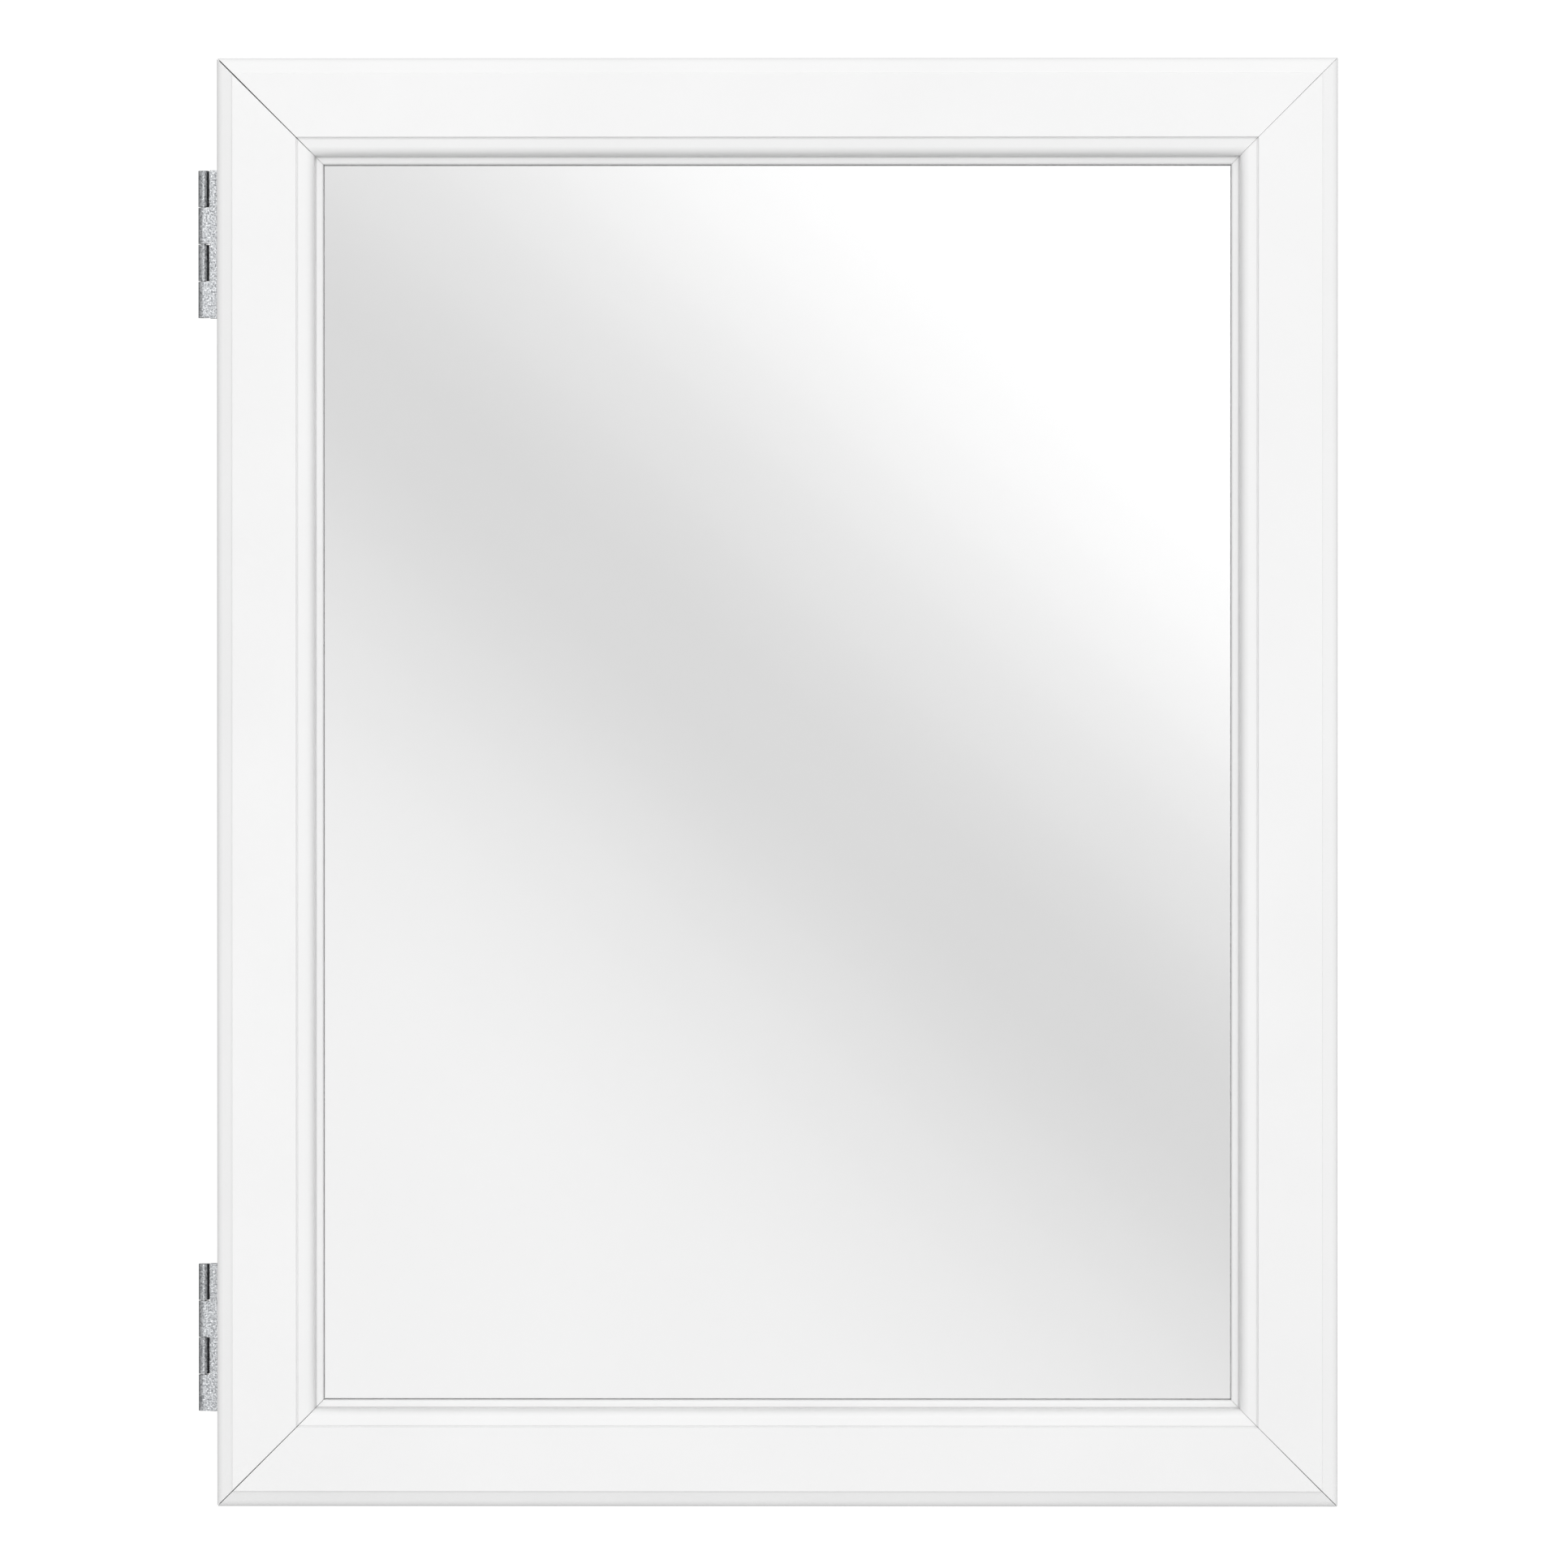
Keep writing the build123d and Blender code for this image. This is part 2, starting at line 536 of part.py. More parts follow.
def backer_clip(edge, inward, along):
    """An offset clip: its foot is screwed to the frame and its toe presses on the backer."""
    seat = Plane(origin=edge, x_dir=inward, z_dir=along)
    depth = BACKER_RECESS
    foot = (-CLIP_FOOT, 0, -CLIP_THICKNESS, 0)
    riser = (0, CLIP_THICKNESS, -CLIP_THICKNESS, depth)
    toe = (0, CLIP_TOE, depth - CLIP_THICKNESS, depth)
    # the plane's Y is along x cross inward, which is towards the viewer or the wall by the side it is on
    towards_viewer = 1 if seat.y_dir.Y < 0 else -1
    solid = None
    for low_x, high_x, low_y, high_y in (foot, riser, toe):
        size = (high_x - low_x, high_y - low_y, CLIP_WIDTH)
        middle = ((low_x + high_x) / 2, towards_viewer * (low_y + high_y) / 2, 0)
        piece = seat * Pos(*middle) * Box(*size)
        solid = piece if solid is None else solid + piece
    return solid


door_middle_x = (DOOR_LEFT + DOOR_RIGHT) / 2
door_middle_z = (DOOR_TOP + DOOR_BOTTOM) / 2
clips = []
clip_screw_faces = []
for share in CLIP_PLACES:
    z = door_middle_z + share * (mirror_z[1] - mirror_z[0])
    x = door_middle_x + share * (mirror_x[1] - mirror_x[0])
    sides = (
        (Vector(DOOR_LEFT + REBATE_START, DOOR_BACK, z), Vector(1, 0, 0), Vector(0, 0, 1)),
        (Vector(DOOR_RIGHT - REBATE_START, DOOR_BACK, z), Vector(-1, 0, 0), Vector(0, 0, 1)),
        (Vector(x, DOOR_BACK, DOOR_TOP - REBATE_START), Vector(0, 0, -1), Vector(1, 0, 0)),
        (Vector(x, DOOR_BACK, DOOR_BOTTOM + REBATE_START), Vector(0, 0, 1), Vector(1, 0, 0)),
    )
    for edge, inward, along in sides:
        clips.append(backer_clip(edge, inward, along))
        clip_screw_faces.append(edge - inward * CLIP_FOOT / 2 + IN * CLIP_THICKNESS)
clip_blanks = [pan_blank(face, OUT, CLIP_SCREW) for face in clip_screw_faces]
clip_tops = [face + IN * CLIP_SCREW["height"] for face in clip_screw_faces]
clips = [clip - clip_blanks for clip in clips]

# ---------------------------------------------------------------- strike plate and bumpers
strike_face = Vector(CATCH_X, STRIKE_FACE, 0)
strike_blank = sunk_blank(strike_face, OUT, STRIKE_SCREW)
half_width = STRIKE_WIDTH / 2
half_height = STRIKE_HEIGHT / 2
strike = block(
    (CATCH_X - half_width, CATCH_X + half_width), (DOOR_BACK, STRIKE_FACE), (-half_height, half_height)
)
strike = fillet(strike.edges().filter_by(Axis.Y), STRIKE_CORNER) - strike_blank

bumper_height = BOX_FRONT - DOOR_BACK - BUMPER_GAP
bumpers = []
for z in (BOX_TOP - BUMPER_END_INSET, BOX_BOTTOM + BUMPER_END_INSET):
    puck = rod(Vector(BOX_RIGHT - PANEL / 2, DOOR_BACK, z), IN, bumper_height, BUMPER_RADIUS)
    bumpers.append(fillet(puck.edges().group_by(Axis.Y)[-1], bumper_height / 2))

# ---------------------------------------------------------------- the door
door_cuts = mitre_nails + clip_blanks + leaf_blanks["door"] + [strike_blank]
members = {  # each runs anticlockwise round the door, as the viewer sees it
    "door_rail_top": ("top_right", "top_left", Vector(0, 0, -1)),
    "door_rail_bottom": ("bottom_left", "bottom_right", Vector(0, 0, 1)),
    "door_stile_hinge": ("top_left", "bottom_left", Vector(1, 0, 0)),
    "door_stile_latch": ("bottom_right", "top_right", Vector(-1, 0, 0)),
}
for name, (start, end, inward) in members.items():
    write(name, mitred_member(corners[start], inward, corners[end]) - door_cuts)
write("mitre_nails", *mitre_nails)
write("mirror", mirror)
write("mirror_backer", backer)
write("backer_clips", *clips)
write("backer_clip_screws", *screws(clip_blanks, clip_tops, OUT, CLIP_SCREW))
write("strike_plate", strike)
write("strike_screw", *screws([strike_blank], [strike_face], OUT, STRIKE_SCREW))
write("door_bumpers", *bumpers)
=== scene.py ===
# %% [markdown]
# # A hanging mirror cabinet
# A shallow white box hangs on the wall.  Its door is a mitred, moulded frame round a mirror, and it swings
# on two small butt hinges.  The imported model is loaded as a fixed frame, and every piece below is built
# around it, in metres: a piece takes its place from the frame's own boxes, so nothing has to be fitted by
# eye.

# %% Load the frame
import json
import math

import bmesh
import bpy
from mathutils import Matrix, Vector


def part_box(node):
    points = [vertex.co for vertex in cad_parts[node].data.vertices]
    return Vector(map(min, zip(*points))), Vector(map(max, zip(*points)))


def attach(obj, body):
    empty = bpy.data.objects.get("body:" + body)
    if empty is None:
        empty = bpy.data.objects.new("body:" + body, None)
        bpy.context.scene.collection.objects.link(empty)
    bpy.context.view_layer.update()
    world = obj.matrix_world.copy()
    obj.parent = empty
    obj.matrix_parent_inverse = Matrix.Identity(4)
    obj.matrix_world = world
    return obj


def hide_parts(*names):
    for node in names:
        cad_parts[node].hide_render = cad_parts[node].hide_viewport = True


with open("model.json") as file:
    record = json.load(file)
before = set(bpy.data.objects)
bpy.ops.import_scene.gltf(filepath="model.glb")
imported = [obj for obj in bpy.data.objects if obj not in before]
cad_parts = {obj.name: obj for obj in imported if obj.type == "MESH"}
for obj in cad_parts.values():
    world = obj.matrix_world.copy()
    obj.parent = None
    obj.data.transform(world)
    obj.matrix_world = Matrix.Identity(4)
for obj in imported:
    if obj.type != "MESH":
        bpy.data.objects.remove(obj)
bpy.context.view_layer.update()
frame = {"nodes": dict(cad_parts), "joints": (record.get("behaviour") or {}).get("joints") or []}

MM = 0.001

# %% [markdown]
# ## Places that everything shares
# The door's face, its four outer edges, the hinge axis and the thickness of the box's boards are read from
# the frame once.  The door faces -Y and the wall is at Y = 0.

# %% Edges of the door, its axis, and the box's board
stile_low, stile_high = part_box("door_stile_hinge")
DOOR_LEFT = stile_low.x
DOOR_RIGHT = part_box("door_stile_latch")[1].x
DOOR_BOTTOM, DOOR_TOP = stile_low.z, stile_high.z
DOOR_FRONT, DOOR_BACK = stile_low.y, stile_high.y
FRAME_WIDTH = stile_high.x - stile_low.x
DOOR_THICKNESS = DOOR_BACK - DOOR_FRONT
DOOR_MIDDLE = Vector(((DOOR_LEFT + DOOR_RIGHT) / 2, DOOR_FRONT, (DOOR_BOTTOM + DOOR_TOP) / 2))

hinge_joint = frame["joints"][0]
AXIS_X, AXIS_Y = hinge_joint["pos_m"][0], hinge_joint["pos_m"][1]

side_low, side_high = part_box("side_left")
PANEL = side_high.x - side_low.x
print("door", round((DOOR_RIGHT - DOOR_LEFT) / MM, 1), "by", round((DOOR_TOP - DOOR_BOTTOM) / MM, 1), "mm")

# %% [markdown]
# ## Camera
# A long lens from straight in front keeps the frame's sides parallel, as a catalogue picture does, and from
# far off the door's edge hides little of the hinges behind it.  The lens and the width that it takes in at
# the door's face give the distance.  The aim is a little to the right of the door's middle and below it,
# because the hinges stand out on the left.

# %% Camera
LENS_MM = 200.0
SENSOR_MM = 36.0
FIELD = 534.95 * MM
AIM = Vector((2.37 * MM, 0, -0.50 * MM))
CAMERA_RIGHT = math.radians(0.36)
CAMERA_UP = math.radians(0.3)

scene = bpy.context.scene
camera = bpy.data.objects.new("camera", bpy.data.cameras.new("camera"))
camera.data.lens = LENS_MM
camera.data.sensor_width = SENSOR_MM
distance = FIELD * LENS_MM / SENSOR_MM
back_along = Vector((math.sin(CAMERA_RIGHT), -math.cos(CAMERA_RIGHT), math.sin(CAMERA_UP))).normalized()
target = DOOR_MIDDLE + AIM
camera.location = target + back_along * distance
camera.rotation_euler = back_along.to_track_quat("Z", "Y").to_euler()
scene.collection.objects.link(camera)
scene.camera = camera
scene.view_settings.view_transform = "Standard"
print("camera", round(distance, 3), "m from the door")

# %% [markdown]
# ## Colours and nodes
# Colours are written as the sRGB hex values that a paint chart gives, and one function turns them to the
# linear values that the shaders use.  Every node is made by `add`, which sets its properties, its inputs
# and its links, so that a material reads as a list of what it is made of.

# %% Colour and node helpers
TOE, TOE_SLOPE, OFFSET, GAMMA = 0.04045, 12.92, 0.055, 2.4


def linear(colour):
    """The linear RGBA of an sRGB hex colour such as #C8C9CB."""
    parts = [int(colour[i : i + 2], 16) / 255 for i in (1, 3, 5)]
    return [p / TOE_SLOPE if p <= TOE else ((p + OFFSET) / (1 + OFFSET)) ** GAMMA for p in parts] + [1.0]


def add(tree, kind, inputs=None, stops=None, **settings):
    """One node: settings are its properties, an input is a value or (node, output), stops fill a ramp."""
    made = tree.nodes.new(kind)
    for key, value in settings.items():
        setattr(made, key, value)
    for key, value in (inputs or {}).items():
        if isinstance(value, tuple) and isinstance(value[0], bpy.types.Node):
            tree.links.new(value[0].outputs[value[1]], made.inputs[key])
        else:
            made.inputs[key].default_value = value
    if stops:
        points = made.color_ramp.elements
        while len(points) < len(stops):
            points.new(1.0)
        for point, (place, colour) in zip(points, stops):
            point.position = place
            point.color = colour
    return made


def new_material(name):
    """An empty material's node tree, with object coordinates, which are metres in the row frame."""
    made = bpy.data.materials.new(name)
    made.use_nodes = True
    made.node_tree.nodes.clear()
    return made, made.node_tree, add(made.node_tree, "ShaderNodeTexCoord")


def per_size(millimetres):
    """The scale of a pattern whose features are this large."""
    return 1 / (millimetres * MM)


def grey(level):
    """A neutral linear colour."""
    return [level, level, level, 1.0]


print("white", [round(v, 3) for v in linear("#F4F4F3")])

# %% [markdown]
# ## Studio
# The cabinet hangs in a white studio.  A world shader lights it: brighter in front and above, a little
# darker at the sides, which is what shapes the white mouldings.  A mirror shows the studio itself, so the
# world also has one wide soft grey band that crosses it on a slant, like a flag hung behind the camera,
# with white on one side of it and pale grey on the other.  The camera sees plain white behind the object.

# %% World
BASE = 0.808                      # light that comes from every side
LEAN = Vector((0.0, -0.46, 0.10))  # how much more comes from the front and from above
BAND_ACROSS = Vector((0.656, 0, 0.755))   # square to the band's slant
BAND_REACH = 0.08                 # how far from the band's middle the ramp goes, as a direction's sine
BAND_MIDDLE = -0.005
BAND = [                          # place across the band, and the share of the light that is left
    (0.00, 0.762),
    (0.20, 0.754),
    (0.30, 0.712),
    (0.36, 0.672),
    (0.41, 0.633),
    (0.46, 0.601),
    (0.50, 0.595),
    (0.54, 0.601),
    (0.59, 0.639),
    (0.65, 0.690),
    (0.70, 0.747),
    (0.75, 0.804),
    (0.80, 0.845),
    (0.87, 0.880),
    (1.00, 0.920),
]

world = bpy.data.worlds.new("studio")
scene.world = world
world.use_nodes = True
tree = world.node_tree
tree.nodes.clear()
way = add(tree, "ShaderNodeTexCoord")
lean = add(tree, "ShaderNodeVectorMath", {0: (way, "Generated"), 1: LEAN}, operation="DOT_PRODUCT")
level = add(tree, "ShaderNodeMath", {0: (lean, "Value"), 1: BASE}, operation="ADD")
across = add(tree, "ShaderNodeVectorMath", {0: (way, "Generated"), 1: BAND_ACROSS}, operation="DOT_PRODUCT")
place = add(
    tree,
    "ShaderNodeMapRange",
    {"Value": (across, "Value"), "From Min": BAND_MIDDLE - BAND_REACH, "From Max": BAND_MIDDLE + BAND_REACH},
)
band = add(
    tree, "ShaderNodeValToRGB", {"Fac": (place, "Result")}, stops=[(at, grey(share)) for at, share in BAND]
)
band.color_ramp.interpolation = "CARDINAL"
light = add(tree, "ShaderNodeBackground", {"Color": (band, "Color"), "Strength": (level, "Value")})
white = add(tree, "ShaderNodeBackground", {"Color": grey(1.0), "Strength": 1.1})
rays = add(tree, "ShaderNodeLightPath")
both = add(tree, "ShaderNodeMixShader", {"Fac": (rays, "Is Camera Ray"), 1: (light, 0), 2: (white, 0)})
add(tree, "ShaderNodeOutputWorld", {"Surface": (both, 0)})

# %% [markdown]
# One large softbox stands above and in front, a little to the right, and high enough that the mirror
# doesn't show it.  It gives the roundings a soft highlight and the overhang of the door a soft shadow.  A
# tall narrow strip light on the left draws a bright line down the hinges' barrels, which is what makes a
# small metal part look round.  The floor is plain and pale, well below the cabinet, which hangs.

# %% Lights and floor
LIGHTS = {  # place, width and height in metres, watts
    "softbox": (Vector((0.45, -2.7, 1.15)), 1.4, 1.4, 8.2),
    "strip_light": (Vector((-0.5, -3.0, 0.0)), 0.12, 2.2, 5.8),
}
FLOOR_DROP = 2.2                 # so far down that the underside can be looked at too
FLOOR_REACH = 8.0

for name, (spot, width, height, watts) in LIGHTS.items():
    lamp = bpy.data.objects.new(name, bpy.data.lights.new(name, "AREA"))
    lamp.data.shape = "RECTANGLE"
    lamp.data.size = width
    lamp.data.size_y = height
    lamp.data.energy = watts
    lamp.location = spot
    lamp.rotation_euler = (spot - DOOR_MIDDLE).to_track_quat("Z", "Y").to_euler()
    lamp.visible_camera = False
    lamp.visible_transmission = False    # so that the silver behind the glass doesn't show the lamp
    scene.collection.objects.link(lamp)

floor_mesh = bpy.data.meshes.new("floor")
floor_level = DOOR_BOTTOM - FLOOR_DROP
corners = [(x * FLOOR_REACH, y * FLOOR_REACH, floor_level) for x, y in ((-1, -1), (1, -1), (1, 1), (-1, 1))]
floor_mesh.from_pydata(corners, [], [(0, 1, 2, 3)])
floor = bpy.data.objects.new("floor", floor_mesh)
floor.visible_glossy = False      # so that the mirror shows the studio's walls down to the bottom
floor.visible_transmission = False
scene.collection.objects.link(floor)

pale_floor, tree, coords = new_material("pale_floor")
matt = add(tree, "ShaderNodeBsdfDiffuse", {"Color": linear("#E9E9E9")})
glow = add(tree, "ShaderNodeEmission", {"Color": grey(1.0), "Strength": 1.1})
rays = add(tree, "ShaderNodeLightPath")
both = add(tree, "ShaderNodeMixShader", {"Fac": (rays, "Is Camera Ray"), 1: (matt, 0), 2: (glow, 0)})
add(tree, "ShaderNodeOutputMaterial", {"Surface": (both, 0)})
floor_mesh.materials.append(pale_floor)

# %% [markdown]
# ## How the meshes are made
# Almost every piece is one outline carried through space: a frame member is the moulding's section carried
# from mitre to mitre, a panel is a rectangle carried through its thickness, a knuckle is a curl carried
# along the pin.  `rounded` makes an outline whose corners are arcs, `stack` carries it through levels, each
# with its own inset, so that an edge is eased by a level that is a little smaller.

# %% Outlines and stacks
ARC_STEP = math.radians(9)
SHARP = math.radians(35)         # edges sharper than this stay crisp
FACETED = math.radians(1)        # for polished flats, which must not be shaded as if they curved


def rounded(corners):
    """A closed outline from (x, y, radius) corners, in millimetres, turned to metres."""
    points = []
    for i, (x, y, radius) in enumerate(corners):
        here = Vector((x, y))
        before = (Vector(corners[i - 1][:2]) - here).normalized()
        after = (Vector(corners[(i + 1) % len(corners)][:2]) - here).normalized()
        if not radius:
            points.append(here * MM)
            continue
        half = before.angle(after) / 2
        centre = here + (before + after).normalized() * radius / math.sin(half)
        first = here + before * radius / math.tan(half) - centre
        last = here + after * radius / math.tan(half) - centre
        turn = math.atan2(first.x * last.y - first.y * last.x, first.dot(last))
        steps = max(2, math.ceil(abs(turn) / ARC_STEP))
        for k in range(steps + 1):
            c, s = math.cos(turn * k / steps), math.sin(turn * k / steps)
            points.append((centre + Vector((first.x * c - first.y * s, first.x * s + first.y * c))) * MM)
    return points


def shrunk(outline, inset):
    """The outline moved inwards all round."""
    if not inset:
        return outline
    count = len(outline)
    area = sum(outline[i - 1].cross(outline[i]) for i in range(count))
    side = 1 if area > 0 else -1
    moved = []
    for i, here in enumerate(outline):
        before = (here - outline[i - 1]).normalized()
        after = (outline[(i + 1) % count] - here).normalized()
        normal = Vector((-(before + after).y, (before + after).x)).normalized() * side
        slant = max(0.5, abs(Vector((-before.y, before.x)).dot(normal)))
        moved.append(here + normal * inset / slant)
    return moved


def stack(shape, outline, levels, place):
    """Carry an outline through (inset, height) levels, put each point with place, and cap both ends."""
    rings = []
    for inset, height in levels:
        rings.append([shape.verts.new(place(p.x, p.y, height)) for p in shrunk(outline, inset)])
    for low, high in zip(rings, rings[1:]):
        for i in range(len(outline)):
            shape.faces.new((low[i - 1], low[i], high[i], high[i - 1]))
    shape.faces.new(rings[0])
    shape.faces.new(reversed(rings[-1]))
    return shape


def eased(start, end, ease):
    """Levels from start to end whose rims are rounded over."""
    way = 1 if end > start else -1
    soft = ease * (1 - math.sqrt(0.5))
    return [
        (ease, start), (soft, start + way * soft), (0, start + way * ease),
        (0, end - way * ease), (soft, end - way * soft), (ease, end),
    ]


def piece(name, shape, finishes, body, nodes=(), sharp=SHARP):
    """Make a bmesh into a piece that rides on a body and stands for CAD nodes."""
    bmesh.ops.recalc_face_normals(shape, faces=shape.faces)
    mesh = bpy.data.meshes.new(name)
    for face in shape.faces:
        face.smooth = True
    shape.to_mesh(mesh)
    shape.free()
    mesh.set_sharp_from_angle(angle=sharp)
    for finish in finishes:
        mesh.materials.append(finish)
    made = bpy.data.objects.new(name, mesh)
    scene.collection.objects.link(made)
    true_flats = made.modifiers.new("true_flats", "WEIGHTED_NORMAL")
    true_flats.weight = 100
    true_flats.keep_sharp = True
    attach(made, body)
    if nodes:
        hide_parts(*nodes)
    print(name, len(mesh.polygons), "faces")
    return made

# %% [markdown]
# ## White satin paint
# The frame is a primed wood moulding sprayed with a white satin alkyd paint.  A sprayed coat levels out to
# a faint orange peel, cells about 2 mm across and far shallower than a hair, and it pools very slightly, so
# the white isn't quite even.  It is a dielectric with an index near 1.5; satin means that highlights are
# there but spread out.

# %% Material: white satin alkyd paint, sprayed
PEEL_MM = 2.2
GRAIN_MM = 0.45
POOLING_MM = 70

satin_paint, tree, coords = new_material("satin_alkyd_paint_sprayed")
pooling = add(
    tree, "ShaderNodeTexNoise", {"Vector": (coords, "Object"), "Scale": per_size(POOLING_MM), "Detail": 3.0}
)
tint = add(
    tree,
    "ShaderNodeValToRGB",
    {"Fac": (pooling, "Fac")},
    stops=[(0.3, linear("#EEEEEE")), (0.7, linear("#F1F1F1"))],
)
peel = add(
    tree, "ShaderNodeTexNoise", {"Vector": (coords, "Object"), "Scale": per_size(PEEL_MM), "Detail": 1.0}
)
grain = add(
    tree, "ShaderNodeTexNoise", {"Vector": (coords, "Object"), "Scale": per_size(GRAIN_MM), "Detail": 2.0}
)
low_bump = add(
    tree, "ShaderNodeBump", {"Height": (peel, "Fac"), "Strength": 0.06, "Distance": 0.2 * MM}
)
bump = add(
    tree,
    "ShaderNodeBump",
    {"Height": (grain, "Fac"), "Strength": 0.05, "Distance": 0.05 * MM, "Normal": (low_bump, "Normal")},
)
sheen = add(
    tree,
    "ShaderNodeMapRange",
    {"Value": (peel, "Fac"), "From Min": 0.3, "From Max": 0.7, "To Min": 0.34, "To Max": 0.42},
)
skin = add(
    tree,
    "ShaderNodeBsdfPrincipled",
    {
        "Base Color": (tint, "Color"),
        "Roughness": (sheen, "Result"),
        "Normal": (bump, "Normal"),
        "IOR": 1.5,
        "Specular IOR Level": 0.5,
    },
)
add(tree, "ShaderNodeOutputMaterial", {"Surface": (skin, 0)})

# %% [markdown]
# ## The moulded frame
# One moulding makes all four members.  From the outer edge inwards it has a rounded corner, a band that
# slopes up to a small step, a flat, a fine groove, an ovolo, a narrow quirk and a flat lip over the mirror;
# behind the lip is the rebate that the mirror sits in.  The section is written once as corners with their
# radii: a quarter round is only a corner with a large radius, and a paint-softened edge one with a small
# one.

# %% The moulding's section, in millimetres from the outer edge and from the back
WIDE = FRAME_WIDTH / MM
THICK = DOOR_THICKNESS / MM
OUTER_BAND = 5.4
OUTER_FALL = 2.0
OUTER_CORNER = 3.5
OUTER_STEP = 0.6
FLAT_END = 27.3
GROOVE = 0.6
GROOVE_DEPTH = 1.2
INNER_STEP = 0.8
OVOLO_FALL = 0.7
OVOLO_ROUND = 3.4
OVOLO_END = 33.4
LIP_LEVEL = THICK - INNER_STEP - 5.5
LIP_ROUND = 1.0
QUIRK = 0.45
QUIRK_DEPTH = 0.6
REBATE_WIDTH = 6.0
REBATE_DEPTH = 9.0
TIGHT, SOFT = 0.08, 0.22

section = rounded([
    (0, 0, SOFT),
    (0, THICK - OUTER_STEP - OUTER_FALL, OUTER_CORNER),
    (OUTER_BAND, THICK - OUTER_STEP, TIGHT),
    (OUTER_BAND, THICK, 1.5 * SOFT),
    (FLAT_END, THICK, SOFT),
    (FLAT_END, THICK - GROOVE_DEPTH, TIGHT),
    (FLAT_END + GROOVE, THICK - GROOVE_DEPTH, TIGHT),
    (FLAT_END + GROOVE, THICK - INNER_STEP, SOFT / 2),
    (OVOLO_END, THICK - INNER_STEP - OVOLO_FALL, OVOLO_ROUND),
    (OVOLO_END, LIP_LEVEL - QUIRK_DEPTH, TIGHT),
    (OVOLO_END + QUIRK, LIP_LEVEL - QUIRK_DEPTH, TIGHT),
    (OVOLO_END + QUIRK, LIP_LEVEL, SOFT),
    (WIDE, LIP_LEVEL, LIP_ROUND),
    (WIDE, REBATE_DEPTH, TIGHT),
    (WIDE - REBATE_WIDTH, REBATE_DEPTH, 0),
    (WIDE - REBATE_WIDTH, 0, SOFT),
])
print("the section has", len(section), "points")

# %% [markdown]
# Each member is the section carried along its edge of the door.  The ends are mitres: the further a point
# is from the outer edge, the later it starts and the sooner it stops.  Glued mitres never close perfectly:
# the nails hold them shut at the back, and towards the face each corner opens to its own hairline gap,
# given at the outside and at the inside.  The cut edges are eased a little.  Together they draw the thin
# dark seam.

# %% The four members
CUT_EASE = 0.10 * MM
SEAMS = {  # half of each gap in mm: at the outer corner, at the inner corner
    "top_left": (0.30, 0.08),
    "top_right": (0.07, 0.02),
    "bottom_left": (0.20, 0.09),
    "bottom_right": (0.17, 0.02),
}
OUT = Vector((0, -1, 0))
CORNERS = {
    "top_left": Vector((DOOR_LEFT, DOOR_BACK, DOOR_TOP)),
    "top_right": Vector((DOOR_RIGHT, DOOR_BACK, DOOR_TOP)),
    "bottom_left": Vector((DOOR_LEFT, DOOR_BACK, DOOR_BOTTOM)),
    "bottom_right": Vector((DOOR_RIGHT, DOOR_BACK, DOOR_BOTTOM)),
}


def seam(corner, across):
    """How far a member stays back from the mitre line at this distance from the outer edge."""
    outside, inside = SEAMS[corner]
    return (outside + (inside - outside) * across / FRAME_WIDTH) * MM


def frame_member(name, start, end, inward):
    """One mitred member, from one corner of the door to the next."""
    length = (CORNERS[end] - CORNERS[start]).length
    along = (CORNERS[end] - CORNERS[start]).normalized()

    def place(across, up, run):
        share = run / length
        opening = up / DOOR_THICKNESS
        begin = across + opening * seam(start, across)
        finish = across + opening * seam(end, across)
        travel = run + begin * (1 - share) - finish * share
        return CORNERS[start] + inward * across + OUT * up + along * travel

    levels = [(CUT_EASE, 0), (0, CUT_EASE), (0, length - CUT_EASE), (CUT_EASE, length)]
    shape = stack(bmesh.new(), section, levels, place)
    return piece(f"painted_{name}", shape, [satin_paint], "door", [name])


frame_member("door_rail_top", "top_left", "top_right", Vector((0, 0, -1)))
frame_member("door_rail_bottom", "bottom_left", "bottom_right", Vector((0, 0, 1)))
frame_member("door_stile_hinge", "bottom_left", "top_left", Vector((1, 0, 0)))
frame_member("door_stile_latch", "bottom_right", "top_right", Vector((-1, 0, 0)))

# %% [markdown]
# ## Mirror
# A household mirror is 3 mm float glass, silvered on its back and sealed with paint.  Light goes through
# the glass, turns at the silver and comes out again, so the edge of the frame shows twice, once itself and
# once just below the glass.  That needs the two layers to be there: a clear plate with seamed edges, and
# the thin silver film behind it.  Float glass has an index of 1.52; silver reflects about 95 percent.

# %% Materials: float glass and silvering
HAZE_MM = 180
ROLLER_MM = 1.5

mirror_glass, tree, coords = new_material("float_glass_clear")
glass = add(
    tree,
    "ShaderNodeBsdfPrincipled",
    {
        "Base Color": linear("#FEFEFE"),
        "Roughness": 0.0,
        "IOR": 1.52,
        "Transmission Weight": 1.0,
    },
)
add(tree, "ShaderNodeOutputMaterial", {"Surface": (glass, 0)})

silvering, tree, coords = new_material("silver_film_chemically_deposited")
haze = add(
    tree, "ShaderNodeTexNoise", {"Vector": (coords, "Object"), "Scale": per_size(HAZE_MM), "Detail": 2.0}
)
film = add(
    tree,
    "ShaderNodeValToRGB",
    {"Fac": (haze, "Fac")},
    stops=[(0.35, linear("#F8F8F8")), (0.65, linear("#FAFAFA"))],
)
silver = add(
    tree, "ShaderNodeBsdfPrincipled", {"Base Color": (film, "Color"), "Metallic": 1.0, "Roughness": 0.0}
)
add(tree, "ShaderNodeOutputMaterial", {"Surface": (silver, 0)})

